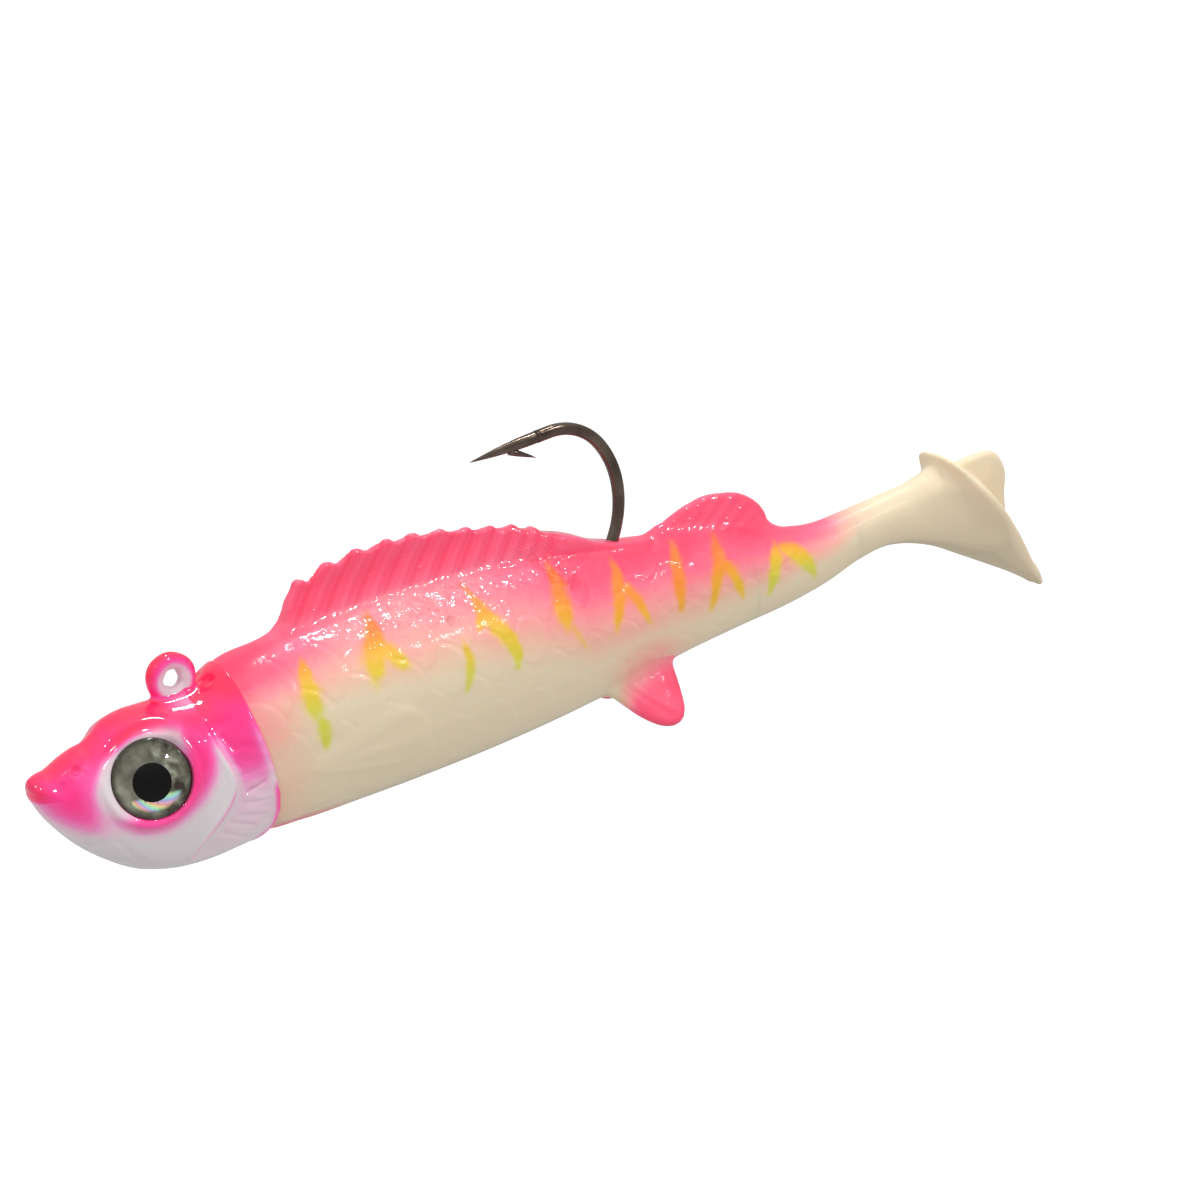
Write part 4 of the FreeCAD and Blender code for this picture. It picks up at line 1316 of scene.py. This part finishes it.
def skin_height(n, place):
    """Fine waves, pores, the crumpled film's facets and beads of oil, in millimetres."""
    soft = n.times(n.noise(place, 1.1), 0.030)
    pores = n.times(n.noise(place, 6.0), 0.002)
    wander = n.vector("MULTIPLY", n.noise(place, 0.7, output=1), (2.2, 2.2, 2.2))
    bent = n.vector("ADD", place, wander)
    cells = n.tree.nodes.new("ShaderNodeTexVoronoi")
    n.put(cells.inputs["Vector"], bent)
    n.put(cells.inputs["Scale"], 0.45)
    tilt = n.vector("SUBTRACT", cells.outputs["Color"], (0.5, 0.5, 0.5))
    offset = n.vector("SUBTRACT", bent, cells.outputs["Position"])
    facets = n.vector("DOT_PRODUCT", tilt, offset, output=1)
    folds = n.times(n.times(facets, n.value("crease")), 0.55)
    drops = n.node("ShaderNodeTexVoronoi", {"Vector": place, "Scale": 1.1}, feature="F1")
    beads = n.times(n.fade(drops, 0.26, 0.06, 0.0, 0.030), n.value("gloss"))
    return n.plus(n.plus(soft, pores), n.plus(folds, beads))


def skin_material():
    """Soft translucent plastisol with airbrushed back and stripes under an oily film, and a painted glow in
    its pinks.
    """
    n = Nodes("soft_skin")
    place = n.place()
    colour, glow = skin_colours(n, place)
    n.set(Base_Color=colour, Roughness=0.42, Specular_IOR_Level=0.35, Subsurface_Weight=0.25,
          Subsurface_Scale=0.0012, Subsurface_Radius=(1.0, 0.55, 0.35), Coat_Weight=n.value("gloss"),
          Coat_Roughness=0.07, Emission_Color=glow, Emission_Strength=SKIN_PAINTED_GLOW)
    normal = n.bump(skin_height(n, place), 1.0, 1.0)
    n.put(n.shader.inputs["Normal"], normal)
    n.put(n.shader.inputs["Coat Normal"], normal)
    return n.material


def cut_skin(name, mesh, low, high):
    """The stretch of the skin between two x positions, closed at the cuts, with the whole skin's shading."""
    work = bmesh.new()
    work.from_mesh(mesh)
    for x, direction in ((low, -1.0), (high, 1.0)):
        if x is None:
            continue
        geometry = work.verts[:] + work.edges[:] + work.faces[:]
        result = bmesh.ops.bisect_plane(work, geom=geometry, plane_co=(x * MM, 0, 0),
                                        plane_no=(direction, 0, 0), clear_outer=True, dist=1e-7)
        rim = [e for e in result["geom_cut"] if isinstance(e, bmesh.types.BMEdge)]
        bmesh.ops.contextual_create(work, geom=rim)
    part = bpy.data.meshes.new(name)
    work.to_mesh(part)
    work.free()
    part.materials.append(mesh.materials[0])
    count = len(part.vertices)
    shade = np.zeros(count * 3, np.float32)
    part.attributes["shade"].data.foreach_get("vector", shade)
    shade = shade.reshape(-1, 3)
    shade /= np.linalg.norm(shade, axis=1)[:, None] + 1e-9
    loops = []
    for face in part.polygons:
        capped = len(face.vertices) > 5
        for index in face.loop_indices:
            loops.append(tuple(face.normal) if capped else tuple(shade[part.loops[index].vertex_index]))
    part.polygons.foreach_set("use_smooth", [True] * len(part.polygons))
    part.normals_split_custom_set(loops)
    thing = bpy.data.objects.new(name, part)
    bpy.context.scene.collection.objects.link(thing)
    return thing


def make_body(material):
    """The soft body as one skin, cut into three stretches at the skin's seams."""
    points, quads = surface_net(body_field, *BODY_BOX, BODY_CELL)
    points = relax(points, quads, 1)
    points, _ = settle(body_field, points)
    normals = vertex_normals(points, quads)
    values = body_paint(points, normals)
    values["rest"] = points.copy()
    points = points + normals * body_relief(points, normals)[:, None]
    values["shade"] = vertex_normals(points, quads)
    whole = add_mesh("whole_skin", points, quads, material, values)
    first, second = SKIN_SPLITS
    front = cut_skin("body_skin", whole.data, None, first)
    middle = cut_skin("stem_skin", whole.data, first, second)
    rear = cut_skin("paddle_skin", whole.data, second, None)
    bpy.data.objects.remove(whole)
    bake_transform(front)
    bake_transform(middle)
    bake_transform(rear)
    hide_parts("front_body", "rear_body", "first_dorsal_fin", "second_dorsal_fin",
                "left_pelvic_fin", "right_pelvic_fin")
    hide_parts("tail_stem")
    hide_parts("tail_paddle", "tail_lobe")


# ---------------------------------------------------------------- hook

# The wire: rear of the bend, shank and spear lines, radii of the bend, and where the spear starts.
BEND_REAR_X = 46.6
SHANK_Z = -4.9
SPEAR_Z = 11.05
LOWER_BEND = 9.2
UPPER_BEND = 5.3
SPEAR_START_X = 40.9
SPEAR_TIP_X = 32.3
SPEAR_SLOPE = 0.060
SPEAR_REACH = ([32.3, 33.0, 35.0, 38.2, 39.3], [0.06, 0.22, 0.60, 0.98, 1.0])
PLATING = [(0.30, (84, 72, 64)), (0.60, (112, 98, 88)), (0.85, (132, 118, 106))]


def wire_material():
    """Dark bronze-black plated steel with faint drawing marks."""
    n = Nodes("hook_plating")
    place = n.place()
    tone = n.ramp(n.noise(place, 0.5, 3.0), PLATING)
    n.set(Base_Color=tone, Metallic=1.0, Roughness=0.16, Specular_IOR_Level=0.5)
    marks = n.noise(n.node("ShaderNodeMapping", {"Vector": place, "Scale": (9.0, 9.0, 9.0)}), 1.0, 2.0)
    n.put(n.shader.inputs["Normal"], n.bump(marks, 0.15, 0.03))
    return n.material


def lead_material():
    """Dull cast lead."""
    n = Nodes("keeper_lead")
    where = n.node("ShaderNodeTexCoord", output=3)
    tone = n.ramp(n.noise(where, 600.0, 4.0), [(0.3, (92, 94, 98)), (0.7, (132, 134, 138))])
    n.set(Base_Color=tone, Metallic=0.7, Roughness=0.6)
    n.put(n.shader.inputs["Normal"], n.bump(n.noise(where, 2500.0, 2.0), 0.4, 0.05))
    return n.material


def hook_path():
    """Centreline of the wire from inside the body round to the start of the point: (x, z) points."""
    lower_x, lower_z = BEND_REAR_X - LOWER_BEND, SHANK_Z + LOWER_BEND
    upper_z = SPEAR_Z - UPPER_BEND
    rise, inset = upper_z - lower_z, BEND_REAR_X - SPEAR_START_X - UPPER_BEND
    side = UPPER_BEND + (rise ** 2 + inset ** 2) / (2 * inset)
    join = math.atan2(rise, SPEAR_START_X - (BEND_REAR_X - side))
    path = [(x, SHANK_Z) for x in np.linspace(34.0, lower_x, 6)]
    arcs = [
        (lower_x, lower_z, LOWER_BEND, -math.pi / 2, 0, 40),
        (BEND_REAR_X - side, lower_z, side, 0, join, 24),
        (SPEAR_START_X, upper_z, UPPER_BEND, join, math.pi / 2, 24),
    ]
    for centre_x, centre_z, radius, start, end, count in arcs:
        for a in np.linspace(start, end, count)[1:]:
            path.append((centre_x + radius * math.cos(a), centre_z + radius * math.sin(a)))
    path += [(x, SPEAR_Z - spear_drop(x)) for x in np.linspace(SPEAR_START_X, 39.2, 5)[1:]]
    return np.array(path)


def spear_drop(x):
    """How far the spear's middle line has come down from the top of the bend."""
    return SPEAR_SLOPE * np.maximum(40.8 - x, 0.0)


def swept(name, path, sections, material, steps=36):
    """A tube along (x, z) points. Each section is (half depth in the plane, half width, side flatness)."""
    tangents = np.gradient(path, axis=0)
    tangents /= np.linalg.norm(tangents, axis=1)[:, None]
    points = []
    for (x, z), (tx, tz), (deep, wide, power) in zip(path, tangents, sections):
        for k in range(steps):
            a = 2 * math.pi * k / steps
            across = math.copysign(abs(math.cos(a)) ** (2 / power), math.cos(a)) * wide
            out = math.copysign(abs(math.sin(a)) ** (2 / power), math.sin(a)) * deep
            points.append((x - tz * out, across, z + tx * out))
    rows = len(path)
    faces = []
    for here in range(0, (rows - 1) * steps, steps):
        for k in range(steps):
            beside = (k + 1) % steps
            faces.append((here + k, here + beside, here + steps + beside, here + steps + k))
    faces.append(tuple(range(steps))[::-1])
    faces.append(tuple((rows - 1) * steps + k for k in range(steps)))
    points = np.array(points)
    return add_mesh(name, points, faces, material, {"rest": points.copy()})


def make_barb(material):
    """The sliver lifted from the wire under the spear, with its sharp free tip."""
    spine = np.array([(36.3, 10.36), (37.1, 10.02), (37.9, 9.62), (38.5, 9.32), (38.9, 9.08)])
    depths = [0.30, 0.30, 0.20, 0.10, 0.02]
    widths = [0.34, 0.30, 0.22, 0.12, 0.02]
    sections = [(d, w, 2.0) for d, w in zip(depths, widths)]
    return swept("hook_barb", spine, sections, material, 20)


def make_hook(material):
    """The round bend, the spear ground to a point, and the barb."""
    path = hook_path()
    sections = []
    for x, z in path:
        forged = smoothstep(1.0, 6.0, z)
        deep, wide = WIRE_RADIUS * (1 + 0.04 * forged), WIRE_RADIUS * (1 - 0.04 * forged)
        sections.append((deep, wide, 2.0 + 0.5 * forged))
    bend = swept("hook_bend_wire", path, sections, material)
    spear = np.array([(x, SPEAR_Z - spear_drop(x)) for x in np.linspace(39.25, SPEAR_TIP_X, 30)])
    sections = []
    for x, _ in spear:
        share = smoothstep(38.6, 36.6, x) * 0.12
        reach = WIRE_RADIUS * np.interp(x, *SPEAR_REACH)
        sections.append((reach * (1.0 + share), reach * (0.96 - share), 2.4))
    point = swept("hook_spear", spear, sections, material)
    barb = make_barb(material)
    for piece in (bend, point, barb):
        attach(piece, "trunk")
    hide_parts("hook_bend")
    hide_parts("hook_point")


# ---------------------------------------------------------------- stage

def make_stage():
    """A pale floor and soft lights."""
    mesh = bpy.data.meshes.new("floor")
    reach = 6.0
    corners = ((-reach, -reach), (reach, -reach), (reach, reach), (-reach, reach))
    mesh.from_pydata([(x, y, FLOOR_Z * MM) for x, y in corners], [], [(0, 1, 2, 3)])
    floor = bpy.data.objects.new("floor", mesh)
    bpy.context.scene.collection.objects.link(floor)
    floor.visible_diffuse = False
    floor.visible_glossy = False
    n = Nodes("floor_paper")
    n.set(Base_Color=(252, 252, 252), Roughness=0.9, Specular_IOR_Level=0.1)
    mesh.materials.append(n.material)
    make_sky()
    for name, toward, strength, size in LAMPS:
        add_lamp(name, toward, strength, size)
    bpy.context.scene.view_settings.view_transform = "Standard"


def make_sky():
    """Soft light from all round, by height: brightest overhead and dimmest near the horizon."""
    world = bpy.data.worlds.new("studio")
    world.use_nodes = True
    tree = world.node_tree
    where = tree.nodes.new("ShaderNodeTexCoord")
    split = tree.nodes.new("ShaderNodeSeparateXYZ")
    ramp = tree.nodes.new("ShaderNodeValToRGB")
    lift = tree.nodes.new("ShaderNodeMath")
    lift.operation = "MULTIPLY_ADD"
    lift.inputs[1].default_value = 0.5
    lift.inputs[2].default_value = 0.5
    while len(ramp.color_ramp.elements) < len(SKY):
        ramp.color_ramp.elements.new(0.5)
    for element, (height, level) in zip(ramp.color_ramp.elements, SKY):
        element.position = 0.5 + 0.5 * height
        element.color = (level, level, level, 1.0)
    tree.links.new(where.outputs["Generated"], split.inputs[0])
    tree.links.new(split.outputs["Z"], lift.inputs[0])
    tree.links.new(lift.outputs[0], ramp.inputs[0])
    tree.links.new(ramp.outputs[0], tree.nodes["Background"].inputs[0])
    tree.nodes["Background"].inputs[1].default_value = 1.0
    bpy.context.scene.world = world


def add_lamp(name, toward, strength, size):
    """A distant round lamp seen in the direction given, with its width in degrees."""
    data = bpy.data.lights.new(name, "SUN")
    data.energy = strength
    data.angle = math.radians(size)
    lamp = bpy.data.objects.new(name, data)
    lamp.rotation_euler = Vector(toward).to_track_quat("Z", "Y").to_euler()
    bpy.context.scene.collection.objects.link(lamp)


def make_camera():
    """The camera of the photo: aimed, raised, turned and rolled about what it looks at."""
    turn, rise, roll = (math.radians(v) for v in (VIEW_AZIMUTH, VIEW_ELEVATION, VIEW_ROLL))
    back = Vector((math.sin(turn) * math.cos(rise), -math.cos(turn) * math.cos(rise), math.sin(rise)))
    level = Vector((math.cos(turn), math.sin(turn), 0.0))
    upright = back.cross(level)
    right = level * math.cos(roll) - upright * math.sin(roll)
    up = level * math.sin(roll) + upright * math.cos(roll)
    data = bpy.data.cameras.new("camera")
    data.lens = LENS
    data.sensor_width = 36.0
    data.clip_start = 0.01
    data.clip_end = 20.0
    camera = bpy.data.objects.new("camera", data)
    place = (Vector(VIEW_AIM) + back * VIEW_DISTANCE) * MM
    camera.matrix_world = Matrix.Translation(place) @ Matrix((right, up, back)).transposed().to_4x4()
    bpy.context.scene.collection.objects.link(camera)
    bpy.context.scene.camera = camera


def main():
    """Builds the stage and every visible piece, and colours the two CAD pieces that stay."""
    make_camera()
    make_stage()
    lacquer = paint_material()
    head = make_head(lacquer)
    ring = make_ring(lacquer)
    for piece, node in ((head, "head_casting"), (ring, "hook_ring")):
        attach(piece, "trunk")
        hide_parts(node)
    make_eyes()
    make_body(skin_material())
    wire = wire_material()
    make_hook(wire)
    for node, material in (("hook_shank", wire), ("bait_keeper", lead_material())):
        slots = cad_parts[node].material_slots
        for slot in slots:
            slot.material = material


main()
